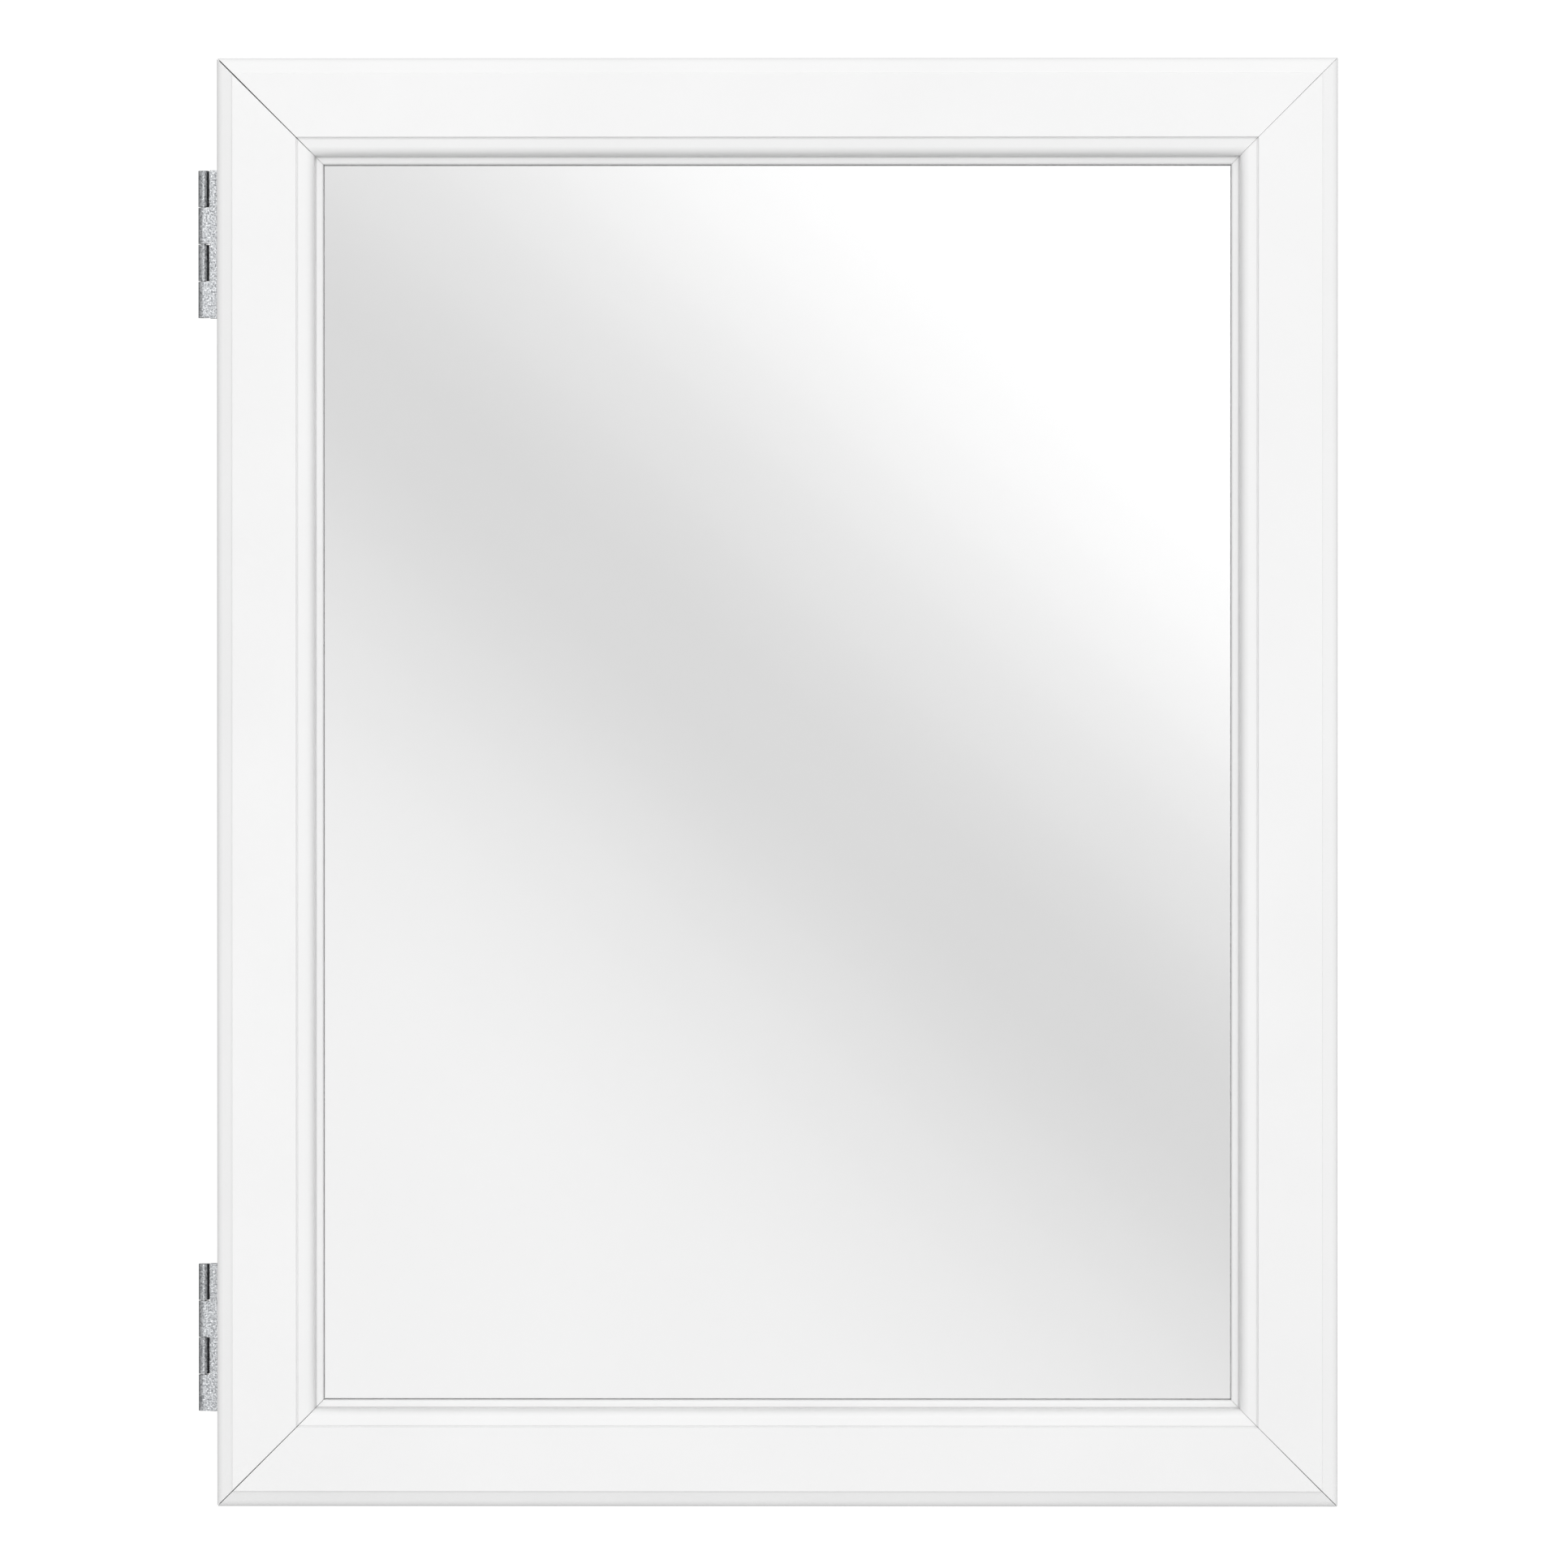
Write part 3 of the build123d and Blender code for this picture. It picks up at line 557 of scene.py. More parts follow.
backing_paint, tree, coords = new_material("mirror_backing_paint_rolled")
roller = add(
    tree, "ShaderNodeTexNoise", {"Vector": (coords, "Object"), "Scale": per_size(ROLLER_MM), "Detail": 3.0}
)
ripple = add(tree, "ShaderNodeBump", {"Height": (roller, "Fac"), "Strength": 0.3, "Distance": 0.1 * MM})
coat = add(
    tree,
    "ShaderNodeBsdfPrincipled",
    {"Base Color": linear("#6F7478"), "Roughness": 0.55, "Normal": (ripple, "Normal")},
)
add(tree, "ShaderNodeOutputMaterial", {"Surface": (coat, 0)})

# %% The mirror's two layers
MIRROR_SEAM = 0.3 * MM
MIRROR_CORNER = 0.5              # millimetres, as the outlines' radii are
FILM_THICKNESS = 0.1 * MM
FILM_GAP = 0.02 * MM
FILM_INSET = 0.4 * MM            # how far the silver stays back from the plate's edge
mirror_low, mirror_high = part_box("mirror")


def rectangle(x0, x1, z0, z1, radius):
    """A rectangle's outline from limits in metres, with corners rounded in millimetres."""
    places = ((x0, z0), (x1, z0), (x1, z1), (x0, z1))
    return rounded([(x / MM, z / MM, radius) for x, z in places])


def facing_viewer(x, z, y):
    """Outline across the door or the box, levels from front to back."""
    return Vector((x, y, z))


sheet = rectangle(mirror_low.x, mirror_high.x, mirror_low.z, mirror_high.z, MIRROR_CORNER)
seamed = eased(mirror_low.y, mirror_high.y - FILM_THICKNESS - FILM_GAP, MIRROR_SEAM)
shape = stack(bmesh.new(), sheet, seamed, facing_viewer)
piece("mirror_glass_plate", shape, [mirror_glass], "door", ["mirror"], sharp=FACETED)

film_levels = [(FILM_INSET, mirror_high.y - FILM_THICKNESS), (FILM_INSET, mirror_high.y)]
shape = stack(bmesh.new(), sheet, film_levels, facing_viewer)
silver_side = piece("mirror_silver_film", shape, [silvering, backing_paint], "door", sharp=FACETED)
for face in silver_side.data.polygons:
    if face.normal.y > 0.5:
        face.material_index = 1

# %% [markdown]
# ## Zinc-plated steel
# Small hinges are stamped from strip steel and plated by the thousand in a tumbling barrel.  The knocks
# leave the zinc mottled: patches under a millimetre wide that differ a little in brightness and in how
# sharply they reflect, over a fine grain.  Zinc is a metal, so it is fully metallic and keeps the default
# IOR; its colour is a cool light grey and it reflects softly.  One cell makes it in two grades, the rough
# one for the hinges.

# %% Materials: zinc-plated steel, tumbled and bright
MOTTLE_MM = 0.6
SCUFF_MM = 0.2
ZINC_GRADES = {  # darker and lighter patches, least and greatest roughness, bump strength
    "zinc_plated_steel_tumbled": ("#7E8083", "#C6C8CA", 0.24, 0.38, 0.55),
    "zinc_plated_steel_bright": ("#B9BBBE", "#CFD1D3", 0.22, 0.34, 0.12),
}


def zinc(name):
    """One grade of zinc plating."""
    dark, pale, smooth, rough, strength = ZINC_GRADES[name]
    made, tree, coords = new_material(name)
    mottle = add(
        tree,
        "ShaderNodeTexNoise",
        {"Vector": (coords, "Object"), "Scale": per_size(MOTTLE_MM), "Detail": 3.0},
    )
    scuff = add(
        tree, "ShaderNodeTexNoise", {"Vector": (coords, "Object"), "Scale": per_size(SCUFF_MM), "Detail": 1.0}
    )
    patches = add(
        tree,
        "ShaderNodeValToRGB",
        {"Fac": (mottle, "Fac")},
        stops=[(0.36, linear(dark)), (0.64, linear(pale))],
    )
    dull = add(
        tree,
        "ShaderNodeMapRange",
        {"Value": (mottle, "Fac"), "From Min": 0.3, "From Max": 0.7, "To Min": rough, "To Max": smooth},
    )
    dents = add(
        tree, "ShaderNodeBump", {"Height": (mottle, "Fac"), "Strength": strength, "Distance": 0.15 * MM}
    )
    fine = add(
        tree,
        "ShaderNodeBump",
        {"Height": (scuff, "Fac"), "Strength": strength, "Distance": 0.03 * MM, "Normal": (dents, "Normal")},
    )
    steel = add(
        tree,
        "ShaderNodeBsdfPrincipled",
        {
            "Base Color": (patches, "Color"),
            "Metallic": 1.0,
            "Roughness": (dull, "Result"),
            "Specular Tint": grey(0.4),
            "Normal": (fine, "Normal"),
        },
    )
    add(tree, "ShaderNodeOutputMaterial", {"Surface": (steel, 0)})
    print(name)
    return made


tumbled_zinc = zinc("zinc_plated_steel_tumbled")
bright_zinc = zinc("zinc_plated_steel_bright")

# %% [markdown]
# ## Hinges
# A butt hinge is two leaves stamped from 0.9 mm strip, whose fingers are rolled round a pin and share it in
# turn.  A plate with cylinders on its edge would be quicker, but it would have no rolled seam and no
# bore.  Here each leaf is made as the factory makes it: a flat blank with fingers, as a grid of cells, of
# which the points past the pin's axis are wrapped round it by their distance along the strip.  The box's
# leaf is the same blank rolled the other way.  The screw holes are drilled through the flat part with a
# real cut.

# %% Sizes of the hinges, from the frame
leaf_low, leaf_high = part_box("upper_hinge_door_leaf")
pin_low, pin_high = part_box("upper_hinge_pin")
KNUCKLE_RADIUS = AXIS_Y - leaf_low.y
PIN_RADIUS = (pin_high.x - pin_low.x) / 2
RUNNING_FIT = 0.03 * MM
SHEET = KNUCKLE_RADIUS - PIN_RADIUS - RUNNING_FIT
LEAF_REACH = leaf_high.x - AXIS_X
KNUCKLES = 4
KNUCKLE_GAP = 0.3 * MM
NOTCH_GAP = 0.5 * MM
LEAF_CORNER = 1.5 * MM
LEAF_EASE = 0.12                 # millimetres, as the softened edges are given
NEAR = 0.01 * MM
CURL = math.radians(294)         # the finger's end stops just short of the leaf that it started from
CURL_STEPS = 32
print("sheet", round(SHEET / MM, 2), "mm, knuckle radius", round(KNUCKLE_RADIUS / MM, 2), "mm")


# %% Helpers: a circle, and a cut
def circle(x, y, radius, steps=32):
    """A round outline, all in metres."""
    turns = [math.tau * k / steps for k in range(steps)]
    return [Vector((x + radius * math.cos(t), y + radius * math.sin(t))) for t in turns]


def carve(shape, cutters):
    """Cut the solids in cutters out of a shape and give the result as a new one."""
    helpers = []
    for source in (shape, cutters):
        bmesh.ops.recalc_face_normals(source, faces=source.faces)
        mesh = bpy.data.meshes.new("helper")
        source.to_mesh(mesh)
        source.free()
        helpers.append(bpy.data.objects.new("helper", mesh))
        scene.collection.objects.link(helpers[-1])
    cut = helpers[0].modifiers.new("cut", "BOOLEAN")
    cut.object = helpers[1]
    cut.solver = "EXACT"
    result = bmesh.new()
    result.from_object(helpers[0], bpy.context.evaluated_depsgraph_get())
    for helper in helpers:
        bpy.data.meshes.remove(helper.data)
    return result


def soften(made, width, segments=2):
    """A small bevel on every crisp edge, which catches the light as a real edge does."""
    bevel = made.modifiers.new("softened_edges", "BEVEL")
    bevel.width = width * MM
    bevel.segments = segments
    bevel.limit_method = "ANGLE"
    bevel.angle_limit = SHARP
    bevel.harden_normals = False
    made.modifiers.move(len(made.modifiers) - 1, 0)
    return made


# %% The rolled leaves
def grid_solid(rows, columns, filled, place):
    """A sheet of cells with thickness: place gives a point from a row, a column and a side, 0 or 1."""
    shape = bmesh.new()
    points = {}

    def corner(i, j, side):
        if (i, j, side) not in points:
            points[i, j, side] = shape.verts.new(place(rows[i], columns[j], side))
        return points[i, j, side]

    cells = {(i, j) for i in range(len(rows) - 1) for j in range(len(columns) - 1) if filled(i, j)}
    for i, j in sorted(cells):
        around = [(i, j), (i + 1, j), (i + 1, j + 1), (i, j + 1)]
        shape.faces.new([corner(*at, 0) for at in around])
        shape.faces.new([corner(*at, 1) for at in reversed(around)])
        beyond = [(i, j - 1), (i + 1, j), (i, j + 1), (i - 1, j)]
        for k, neighbour in enumerate(beyond):
            if neighbour not in cells:
                a, b = around[k], around[(k + 1) % 4]
                shape.faces.new([corner(*a, 1), corner(*b, 1), corner(*b, 0), corner(*a, 0)])
    return shape


def hinge_leaf(hinge, owner):
    """One leaf: owner is door or box, and the first finger from the top is the box's."""
    name = f"{hinge}_{owner}_leaf"
    low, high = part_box(name)
    facing = -1 if owner == "door" else 1
    pitch = (high.z - low.z) / KNUCKLES
    notch = LEAF_REACH - KNUCKLE_RADIUS - NOTCH_GAP
    wrap = CURL * (KNUCKLE_RADIUS - SHEET / 2)
    along = [0, notch, LEAF_REACH] + [LEAF_REACH + wrap * (k + 1) / CURL_STEPS for k in range(CURL_STEPS)]
    down = [high.z]
    for k in range(KNUCKLES):
        top = high.z - k * pitch
        down += [top - KNUCKLE_GAP / 2, top - pitch + KNUCKLE_GAP / 2]
    down.append(low.z)

    def filled(i, j):
        finger, between = divmod(j - 1, 2)
        own = not between and 0 <= finger < KNUCKLES and (finger % 2 == 0) == (owner == "box")
        return i == 0 or own

    def place(run, z, side):
        radius = KNUCKLE_RADIUS - side * SHEET
        if run <= LEAF_REACH:
            return (AXIS_X + LEAF_REACH - run, AXIS_Y + facing * radius, z)
        turn = (run - LEAF_REACH) / (KNUCKLE_RADIUS - SHEET / 2)
        return (AXIS_X - math.sin(turn) * radius, AXIS_Y + facing * math.cos(turn) * radius, z)

    shape = grid_solid(along, down, filled, place)
    far_corners = [
        edge for edge in shape.edges
        if all(abs(v.co.x - high.x) < NEAR for v in edge.verts)
        and abs(edge.verts[0].co.y - edge.verts[1].co.y) > SHEET / 2
        and any(abs(edge.verts[0].co.z - end) < NEAR for end in (low.z, high.z))
    ]
    bmesh.ops.bevel(shape, geom=far_corners, offset=LEAF_CORNER, segments=6, profile=0.5, affect="EDGES")

    cutters = bmesh.new()
    inner = AXIS_Y + facing * (KNUCKLE_RADIUS - SHEET)
    for z in ((low.z + high.z) / 2 - SCREW_REACH, (low.z + high.z) / 2 + SCREW_REACH):
        hole = circle(SCREW_X, z, COUNTERSINK + OVERCUT)
        levels = [(0, inner - facing * OVERCUT), (SHEET + 2 * OVERCUT, inner + facing * (SHEET + OVERCUT))]
        stack(cutters, hole, levels, facing_viewer)
    shape = carve(shape, cutters)
    made = piece(name + "_rolled", shape, [tumbled_zinc], BODY_OF[owner], [name])
    return soften(made, LEAF_EASE)


BODY_OF = {"door": "door", "box": "cabinet"}
SCREW_X = side_low.x + PANEL / 2
SCREW_REACH = 15.0 * MM
COUNTERSINK = 2.7 * MM
OVERCUT = 0.2 * MM
for hinge in ("upper_hinge", "lower_hinge"):
    for owner in BODY_OF:
        hinge_leaf(hinge, owner)

# %% [markdown]
# The pin is a length of drawn wire that fills the end knuckles.  Its ends are domed a little, as they are
# when it is staked so that it can't fall out.

# %% The pins
PIN_DOME = 0.35 * MM


def upright(x, y, z):
    """Outline seen from above, levels from below."""
    return Vector((x, y, z))


for hinge in ("upper_hinge", "lower_hinge"):
    low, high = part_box(f"{hinge}_pin")
    shape = stack(bmesh.new(), circle(AXIS_X, AXIS_Y, PIN_RADIUS), eased(low.z, high.z, PIN_DOME), upright)
    piece(f"{hinge}_pin_staked", shape, [bright_zinc], "cabinet", [f"{hinge}_pin"])

# %% [markdown]
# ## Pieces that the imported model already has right
# Panels, screws, nails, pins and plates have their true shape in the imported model, so they stay, and get
# only softened edges and their finish.  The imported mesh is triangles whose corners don't share points:
# `dress` welds them, bevels what is still crisp, and keeps the flats flat.

# %% Helper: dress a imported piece
def dress(names, finish, width, angle=SHARP):
    """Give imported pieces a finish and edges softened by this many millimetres."""
    for name in names:
        made = frame["nodes"][name]
        made.data.materials.clear()
        made.data.materials.append(finish)
        weld = made.modifiers.new("weld", "WELD")
        weld.merge_threshold = 0.001 * MM
        bevel = made.modifiers.new("softened_edges", "BEVEL")
        bevel.width = width * MM
        bevel.segments = 2
        bevel.limit_method = "ANGLE"
        bevel.angle_limit = angle
        bevel.use_clamp_overlap = True
        true_flats = made.modifiers.new("true_flats", "WEIGHTED_NORMAL")
        true_flats.weight = 100
    print("dressed", ", ".join(names))


# %% [markdown]
# ## The box's boards
# The box is 12 mm medium-density fibreboard, lacquered white before it is put together.  The lacquer is a
# smooth satin, a little flatter than the door's paint, and the rear edges and the rebate are left raw,
# because they go against the wall: there the board shows its brown fibres.  Raw or lacquered is a matter of
# place, so the shader picks by the depth in the box: everything within a third of a millimetre of the wall
# is raw.

# %% Material: lacquered fibreboard
FIBRE_MM = 0.8
CORE_MM = 5.0
RAW_DEPTH = 0.3 * MM
MIX_A, MIX_B, MIXED = 6, 7, 2    # a Mix node's colour sockets, which share their names with its other sockets

lacquered_board, tree, coords = new_material("fibreboard_lacquered_white")
pooling = add(
    tree, "ShaderNodeTexNoise", {"Vector": (coords, "Object"), "Scale": per_size(POOLING_MM), "Detail": 3.0}
)
white_coat = add(
    tree,
    "ShaderNodeValToRGB",
    {"Fac": (pooling, "Fac")},
    stops=[(0.3, linear("#EEEEEE")), (0.7, linear("#F1F1F1"))],
)
fibres = add(
    tree, "ShaderNodeTexNoise", {"Vector": (coords, "Object"), "Scale": per_size(FIBRE_MM), "Detail": 4.0}
)
core = add(
    tree, "ShaderNodeTexNoise", {"Vector": (coords, "Object"), "Scale": per_size(CORE_MM), "Detail": 2.0}
)
raw_tone = add(
    tree,
    "ShaderNodeMix",
    {0: (core, "Fac"), MIX_A: linear("#A98760"), MIX_B: linear("#C3A37B")},
    data_type="RGBA",
)
fleck = add(
    tree, "ShaderNodeValToRGB", {"Fac": (fibres, "Fac")}, stops=[(0.35, grey(0.72)), (0.6, grey(1.0))]
)
raw_board = add(
    tree,
    "ShaderNodeMix",
    {0: 1.0, MIX_A: (raw_tone, MIXED), MIX_B: (fleck, "Color")},
    data_type="RGBA",
    blend_type="MULTIPLY",
)
where = add(tree, "ShaderNodeSeparateXYZ", {0: (coords, "Object")})
is_raw = add(tree, "ShaderNodeMath", {0: (where, "Y"), 1: -RAW_DEPTH}, operation="GREATER_THAN")
colour = add(
    tree,
    "ShaderNodeMix",
    {0: (is_raw, 0), MIX_A: (white_coat, "Color"), MIX_B: (raw_board, MIXED)},
    data_type="RGBA",
)
gloss = add(tree, "ShaderNodeMapRange", {"Value": (is_raw, 0), "To Min": 0.42, "To Max": 0.85})
ripple = add(tree, "ShaderNodeBump", {"Height": (fibres, "Fac"), "Strength": 0.08, "Distance": 0.1 * MM})
board = add(
    tree,
    "ShaderNodeBsdfPrincipled",
    {
        "Base Color": (colour, MIXED),
        "Roughness": (gloss, "Result"),
        "Normal": (ripple, "Normal"),
        "IOR": 1.5,
    },
)
add(tree, "ShaderNodeOutputMaterial", {"Surface": (board, 0)})

# %% Dress the box
dress(["side_left", "side_right", "top_panel", "bottom_panel"], lacquered_board, 0.35)
dress(["hanging_rail_top", "hanging_rail_bottom"], lacquered_board, 0.5)

# %% [markdown]
# ## Hardboard
# The back of the box and the sheet behind the mirror are 3 mm hardboard: steamed wood fibre pressed against
# a wire screen.  Its screen side keeps the print of the mesh, a grid of little pits about 1.4 mm apart,
# dark brown and fuzzy; its other side is smooth.  In the box the smooth side is coated white and looks
# forwards.  A real print is too fine to show from a few steps away, so the mesh here is drawn 2 mm wide.

# %% Materials: hardboard, with its screen side outwards
SCREEN_MM = 2.0
PULP_MM = 0.7
CLOUD_MM = 25


def hardboard(name, coated_from):
    """Screen-printed hardboard, white in front of coated_from, which is None for a sheet with no coat."""
    made, tree, coords = new_material(name)
    cloud = add(
        tree, "ShaderNodeTexNoise", {"Vector": (coords, "Object"), "Scale": per_size(CLOUD_MM), "Detail": 3.0}
    )
    pulp = add(
        tree, "ShaderNodeTexNoise", {"Vector": (coords, "Object"), "Scale": per_size(PULP_MM), "Detail": 4.0}
    )
    tone = add(
        tree,
        "ShaderNodeMix",
        {0: (cloud, "Fac"), MIX_A: linear("#6B4A30"), MIX_B: linear("#8A6444")},
        data_type="RGBA",
    )
    fleck = add(
        tree, "ShaderNodeValToRGB", {"Fac": (pulp, "Fac")}, stops=[(0.35, grey(0.62)), (0.62, grey(1.0))]
    )
    brown = add(
        tree,
        "ShaderNodeMix",
        {0: 1.0, MIX_A: (tone, MIXED), MIX_B: (fleck, "Color")},
        data_type="RGBA",
        blend_type="MULTIPLY",
    )
    where = add(tree, "ShaderNodeSeparateXYZ", {0: (coords, "Object")})
    waves = []
    for axis in ("X", "Z"):
        turns = add(
            tree,
            "ShaderNodeMath",
            {0: (where, axis), 1: math.tau * per_size(SCREEN_MM)},
            operation="MULTIPLY",
        )
        waves.append(add(tree, "ShaderNodeMath", {0: (turns, 0)}, operation="SINE"))
    print_of_mesh = add(tree, "ShaderNodeMath", {0: (waves[0], 0), 1: (waves[1], 0)}, operation="MULTIPLY")
    relief = add(tree, "ShaderNodeMath", {0: (print_of_mesh, 0), 1: (pulp, "Fac")}, operation="ADD")
    pits = add(tree, "ShaderNodeBump", {"Height": (relief, 0), "Strength": 0.5, "Distance": 0.25 * MM})
    sheet = add(
        tree,
        "ShaderNodeBsdfPrincipled",
        {"Base Color": (brown, MIXED), "Roughness": 0.8, "Normal": (pits, "Normal")},
    )
    shown = sheet
    if coated_from is not None:
        smooth = add(
            tree, "ShaderNodeBump", {"Height": (pulp, "Fac"), "Strength": 0.06, "Distance": 0.1 * MM}
        )
        coat_tone = add(
            tree,
            "ShaderNodeMix",
            {0: (cloud, "Fac"), MIX_A: linear("#ECECEA"), MIX_B: linear("#F1F1EF")},
            data_type="RGBA",
        )
        coated = add(
            tree,
            "ShaderNodeBsdfPrincipled",
            {"Base Color": (coat_tone, MIXED), "Roughness": 0.45, "Normal": (smooth, "Normal")},
        )
        front = add(tree, "ShaderNodeMath", {0: (where, "Y"), 1: coated_from}, operation="LESS_THAN")
        shown = add(tree, "ShaderNodeMixShader", {"Fac": (front, 0), 1: (sheet, 0), 2: (coated, 0)})
    add(tree, "ShaderNodeOutputMaterial", {"Surface": (shown, 0)})
    print(name)
    return made


COAT_DEPTH = 0.2 * MM            # what lies this close to the sheet's front face is coated
back_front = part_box("back_panel")[0].y
coated_hardboard = hardboard("hardboard_screen_printed_coated_white", back_front + COAT_DEPTH)
bare_hardboard = hardboard("hardboard_screen_printed_bare", None)
dress(["back_panel"], coated_hardboard, 0.2)
dress(["mirror_backer"], bare_hardboard, 0.3)

# %% [markdown]
# ## Glass shelves
# Each shelf is 5 mm float glass.  Its faces are clear, but light that runs along the sheet passes so much
# glass that the iron in it shows, so the ground edge is green and a little frosted.  A sheet with a tinted
# edge finish says that at once; the edge is rounded over as a grinding wheel leaves it.

# %% Material: ground glass edge
WHEEL_MM = 0.6

ground_edge, tree, coords = new_material("float_glass_edge_ground")
wheel = add(
    tree, "ShaderNodeTexNoise", {"Vector": (coords, "Object"), "Scale": per_size(WHEEL_MM), "Detail": 3.0}
)
frost = add(
    tree,
    "ShaderNodeMapRange",
    {"Value": (wheel, "Fac"), "From Min": 0.3, "From Max": 0.7, "To Min": 0.2, "To Max": 0.38},
)
green = add(
    tree,
    "ShaderNodeValToRGB",
    {"Fac": (wheel, "Fac")},
    stops=[(0.3, linear("#A9CFC0")), (0.7, linear("#BCDCCF"))],
)
edge = add(
    tree,
    "ShaderNodeBsdfPrincipled",
    {
        "Base Color": (green, "Color"),
        "Roughness": (frost, "Result"),
        "IOR": 1.52,
        "Transmission Weight": 0.8,
    },
)
add(tree, "ShaderNodeOutputMaterial", {"Surface": (edge, 0)})

# %% The shelves
GROUND = 0.9 * MM
SHELF_CORNER = 3.0
for name in ("shelf_lower", "shelf_upper"):
    low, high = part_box(name)
    places = ((low.x, low.y), (high.x, low.y), (high.x, high.y), (low.x, high.y))
    outline = rounded([(x / MM, y / MM, SHELF_CORNER) for x, y in places])
    shape = stack(bmesh.new(), outline, eased(low.z, high.z, GROUND), upright)
    shelf = piece(name + "_ground", shape, [mirror_glass, ground_edge], "cabinet", [name])
    for face in shelf.data.polygons:
        face.material_index = 0 if abs(face.normal.z) > 0.99 else 1

# %% [markdown]
# ## Small metal parts
# Screws, nails and clips are bright zinc-plated steel; they are turned, stamped or cold-headed and then
# plated, so their edges are soft.  The shelf pins and the catch's poles are nickel-plated, which is
# smoother and slightly warmer than zinc.

# %% Material: nickel plating
SMEAR_MM = 1.6

nickel, tree, coords = new_material("nickel_plated_steel")
smear = add(
    tree, "ShaderNodeTexNoise", {"Vector": (coords, "Object"), "Scale": per_size(SMEAR_MM), "Detail": 3.0}
)
warm = add(
    tree,
    "ShaderNodeValToRGB",
    {"Fac": (smear, "Fac")},
    stops=[(0.35, linear("#CFCCC4")), (0.65, linear("#DCD9D2"))],
)
polish = add(
    tree,
    "ShaderNodeMapRange",
    {"Value": (smear, "Fac"), "From Min": 0.3, "From Max": 0.7, "To Min": 0.14, "To Max": 0.24},
)
plated = add(
    tree,
    "ShaderNodeBsdfPrincipled",
    {"Base Color": (warm, "Color"), "Metallic": 1.0, "Roughness": (polish, "Result")},
)
add(tree, "ShaderNodeOutputMaterial", {"Surface": (plated, 0)})

# %% Dress the metal parts
dress(["box_leaf_screws", "door_leaf_screws", "catch_screws", "strike_screw"], bright_zinc, 0.08)
dress(["backer_clip_screws", "panel_screws"], bright_zinc, 0.12)
dress(["backer_clips", "strike_plate"], bright_zinc, 0.15)
dress(["back_nails", "mitre_nails"], bright_zinc, 0.06)
dress(["shelf_lower_pins", "shelf_upper_pins"], nickel, 0.15)
dress(["catch_poles"], nickel, 0.12)

# %% [markdown]
# ## Catch, caps, dowels and bumpers
# The catch's case and the caps over the side screws are moulded polypropylene: white, slightly waxy, with
# light that goes a little way in.  The magnet is sintered ferrite, ground flat, nearly black.  The bumpers
# on the door's back are soft translucent polyurethane domes, and the dowels in the joints are beech.

# %% Material: polypropylene
SPARK_MM = 0.35
FLOW_MM = 12

white_plastic, tree, coords = new_material("polypropylene_moulded_white")
spark = add(
    tree, "ShaderNodeTexNoise", {"Vector": (coords, "Object"), "Scale": per_size(SPARK_MM), "Detail": 2.0}
)
flow = add(
    tree, "ShaderNodeTexNoise", {"Vector": (coords, "Object"), "Scale": per_size(FLOW_MM), "Detail": 2.0}
)
milky = add(
    tree,
    "ShaderNodeValToRGB",
    {"Fac": (flow, "Fac")},
    stops=[(0.35, linear("#EBEBE7")), (0.65, linear("#F0F0ED"))],
)
texture = add(tree, "ShaderNodeBump", {"Height": (spark, "Fac"), "Strength": 0.12, "Distance": 0.03 * MM})
plastic = add(
    tree,
    "ShaderNodeBsdfPrincipled",
    {
        "Base Color": (milky, "Color"),
        "Roughness": 0.4,
        "IOR": 1.49,
        "Subsurface Weight": 0.1,
        "Subsurface Scale": 1.0 * MM,
        "Normal": (texture, "Normal"),
    },
)
add(tree, "ShaderNodeOutputMaterial", {"Surface": (plastic, 0)})

# %% Material: ferrite
GRIT_MM = 0.4

ferrite, tree, coords = new_material("ferrite_sintered_ground")
grit = add(
    tree, "ShaderNodeTexNoise", {"Vector": (coords, "Object"), "Scale": per_size(GRIT_MM), "Detail": 4.0}
)
soot = add(
    tree,
    "ShaderNodeValToRGB",
    {"Fac": (grit, "Fac")},
    stops=[(0.35, linear("#232326")), (0.65, linear("#3A3A3D"))],
)
pores = add(tree, "ShaderNodeBump", {"Height": (grit, "Fac"), "Strength": 0.3, "Distance": 0.05 * MM})
ceramic = add(
    tree,
    "ShaderNodeBsdfPrincipled",
    {"Base Color": (soot, "Color"), "Roughness": 0.55, "Normal": (pores, "Normal")},
)
add(tree, "ShaderNodeOutputMaterial", {"Surface": (ceramic, 0)})

# %% Material: polyurethane
CLOUDED_MM = 1.5

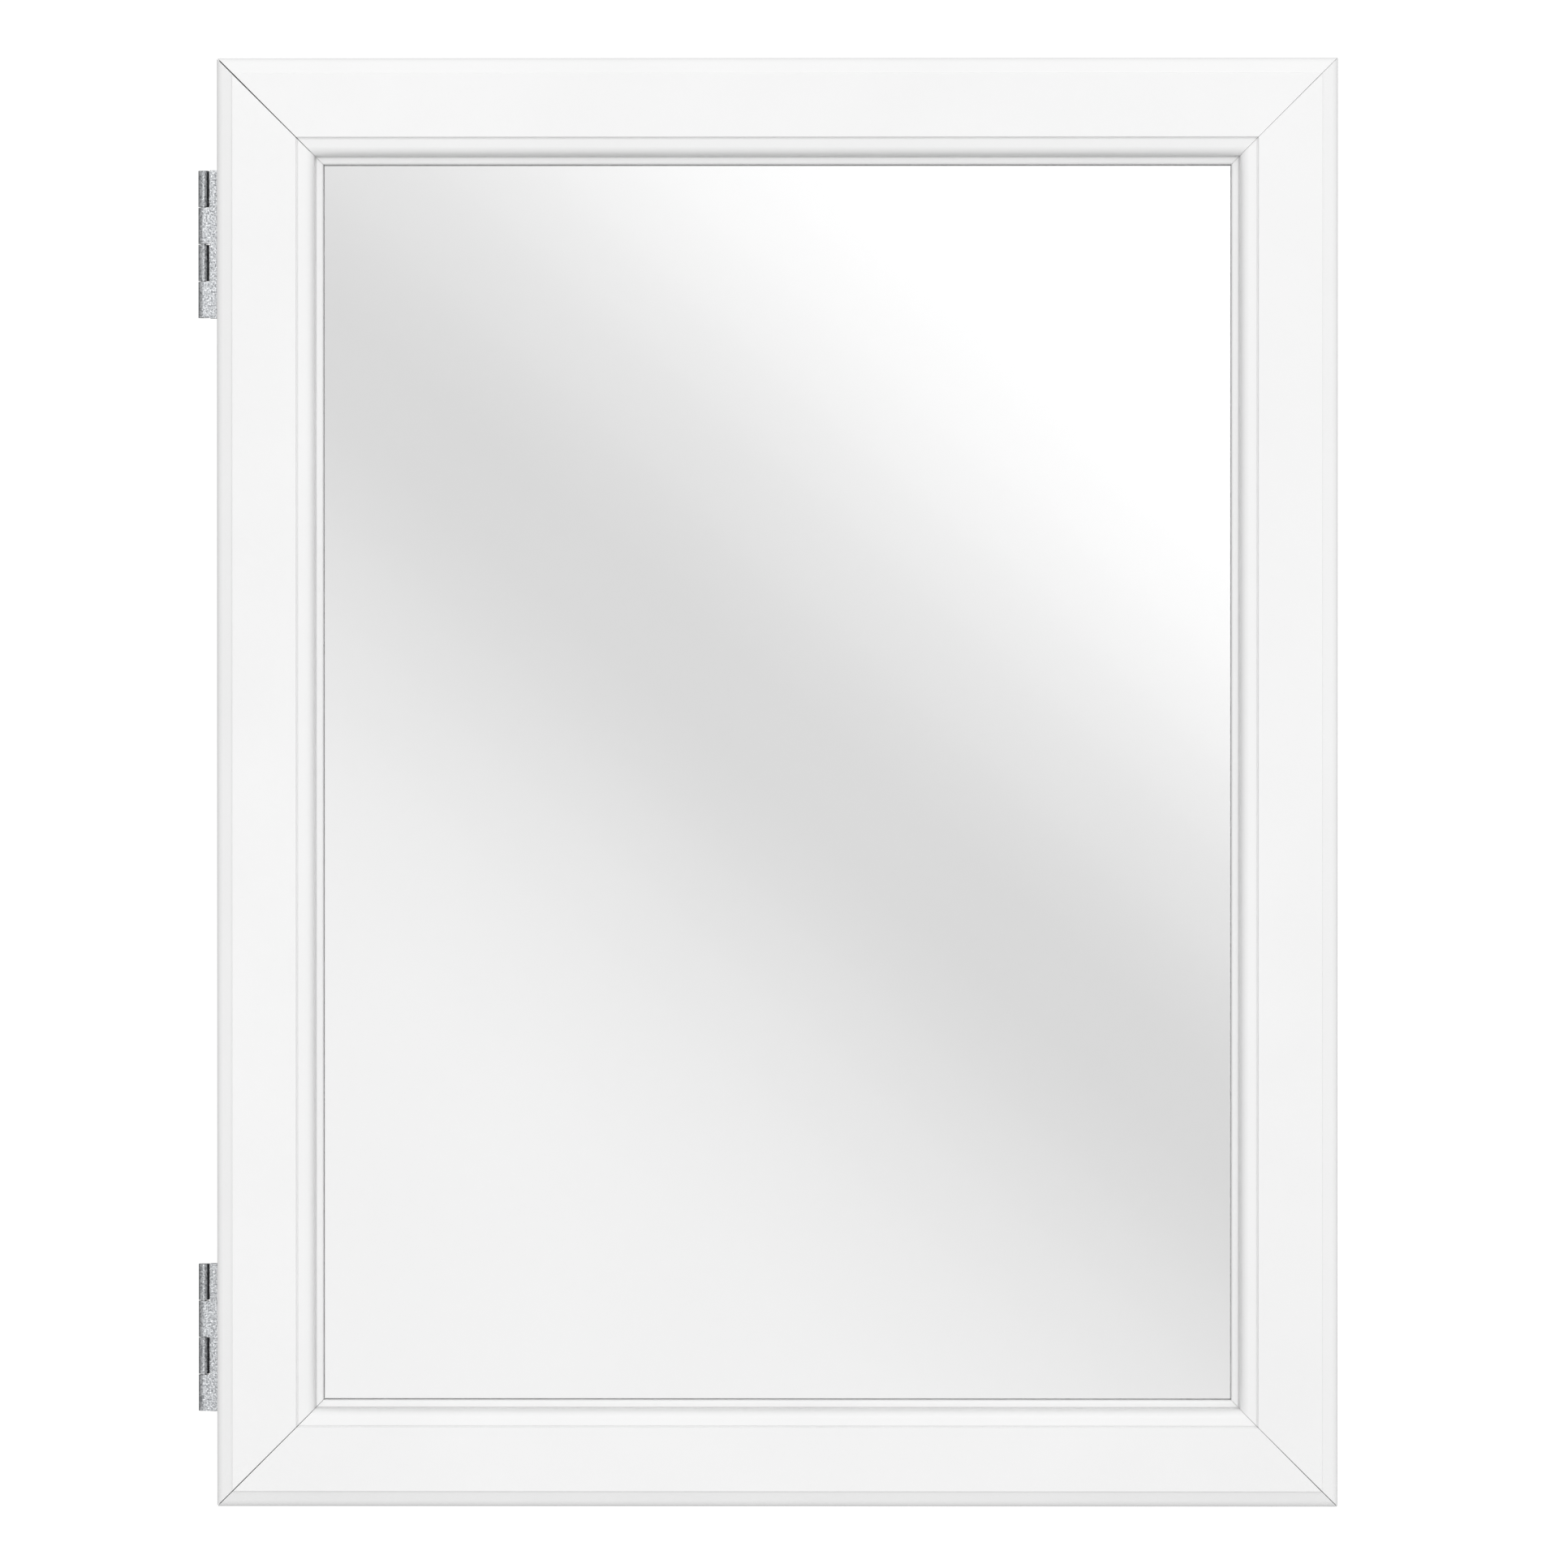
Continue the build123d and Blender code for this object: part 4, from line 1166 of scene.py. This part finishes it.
soft_rubber, tree, coords = new_material("polyurethane_cast_translucent")
haze = add(
    tree, "ShaderNodeTexNoise", {"Vector": (coords, "Object"), "Scale": per_size(CLOUDED_MM), "Detail": 2.0}
)
cloudy = add(
    tree,
    "ShaderNodeValToRGB",
    {"Fac": (haze, "Fac")},
    stops=[(0.3, linear("#D3D9DA")), (0.7, linear("#E6EAEA"))],
)
soft_gloss = add(
    tree,
    "ShaderNodeMapRange",
    {"Value": (haze, "Fac"), "From Min": 0.3, "From Max": 0.7, "To Min": 0.12, "To Max": 0.25},
)
rubber = add(
    tree,
    "ShaderNodeBsdfPrincipled",
    {
        "Base Color": (cloudy, "Color"),
        "Roughness": (soft_gloss, "Result"),
        "IOR": 1.49,
        "Transmission Weight": 0.3,
    },
)
add(tree, "ShaderNodeOutputMaterial", {"Surface": (rubber, 0)})

# %% Material: beech
PORE_MM = 0.7
ALONG_GRAIN = 0.12                # the pores run along X, so the pattern is stretched that way

beech, tree, coords = new_material("beech_turned_bare")
stretch = add(tree, "ShaderNodeMapping", {"Vector": (coords, "Object"), "Scale": (ALONG_GRAIN, 1, 1)})
pore = add(tree, "ShaderNodeTexNoise", {"Vector": (stretch, 0), "Scale": per_size(PORE_MM), "Detail": 3.0})
wood = add(
    tree,
    "ShaderNodeValToRGB",
    {"Fac": (pore, "Fac")},
    stops=[(0.35, linear("#B98B5C")), (0.65, linear("#D3AC80"))],
)
nap = add(tree, "ShaderNodeBump", {"Height": (pore, "Fac"), "Strength": 0.2, "Distance": 0.05 * MM})
timber = add(
    tree,
    "ShaderNodeBsdfPrincipled",
    {"Base Color": (wood, "Color"), "Roughness": 0.6, "Normal": (nap, "Normal")},
)
add(tree, "ShaderNodeOutputMaterial", {"Surface": (timber, 0)})

# %% Dress the rest
dress(["catch_housing"], white_plastic, 0.35)
dress(["panel_screw_caps"], white_plastic, 0.05)
dress(["catch_magnet"], ferrite, 0.1)
dress(["door_bumpers"], soft_rubber, 0.05)
dress(["panel_dowels", "rail_dowels"], beech, 0.4)
undressed = [
    name for name, node in frame["nodes"].items()
    if not node.hide_render and "softened_edges" not in node.modifiers
]
print("packed pieces without a finish:", undressed)
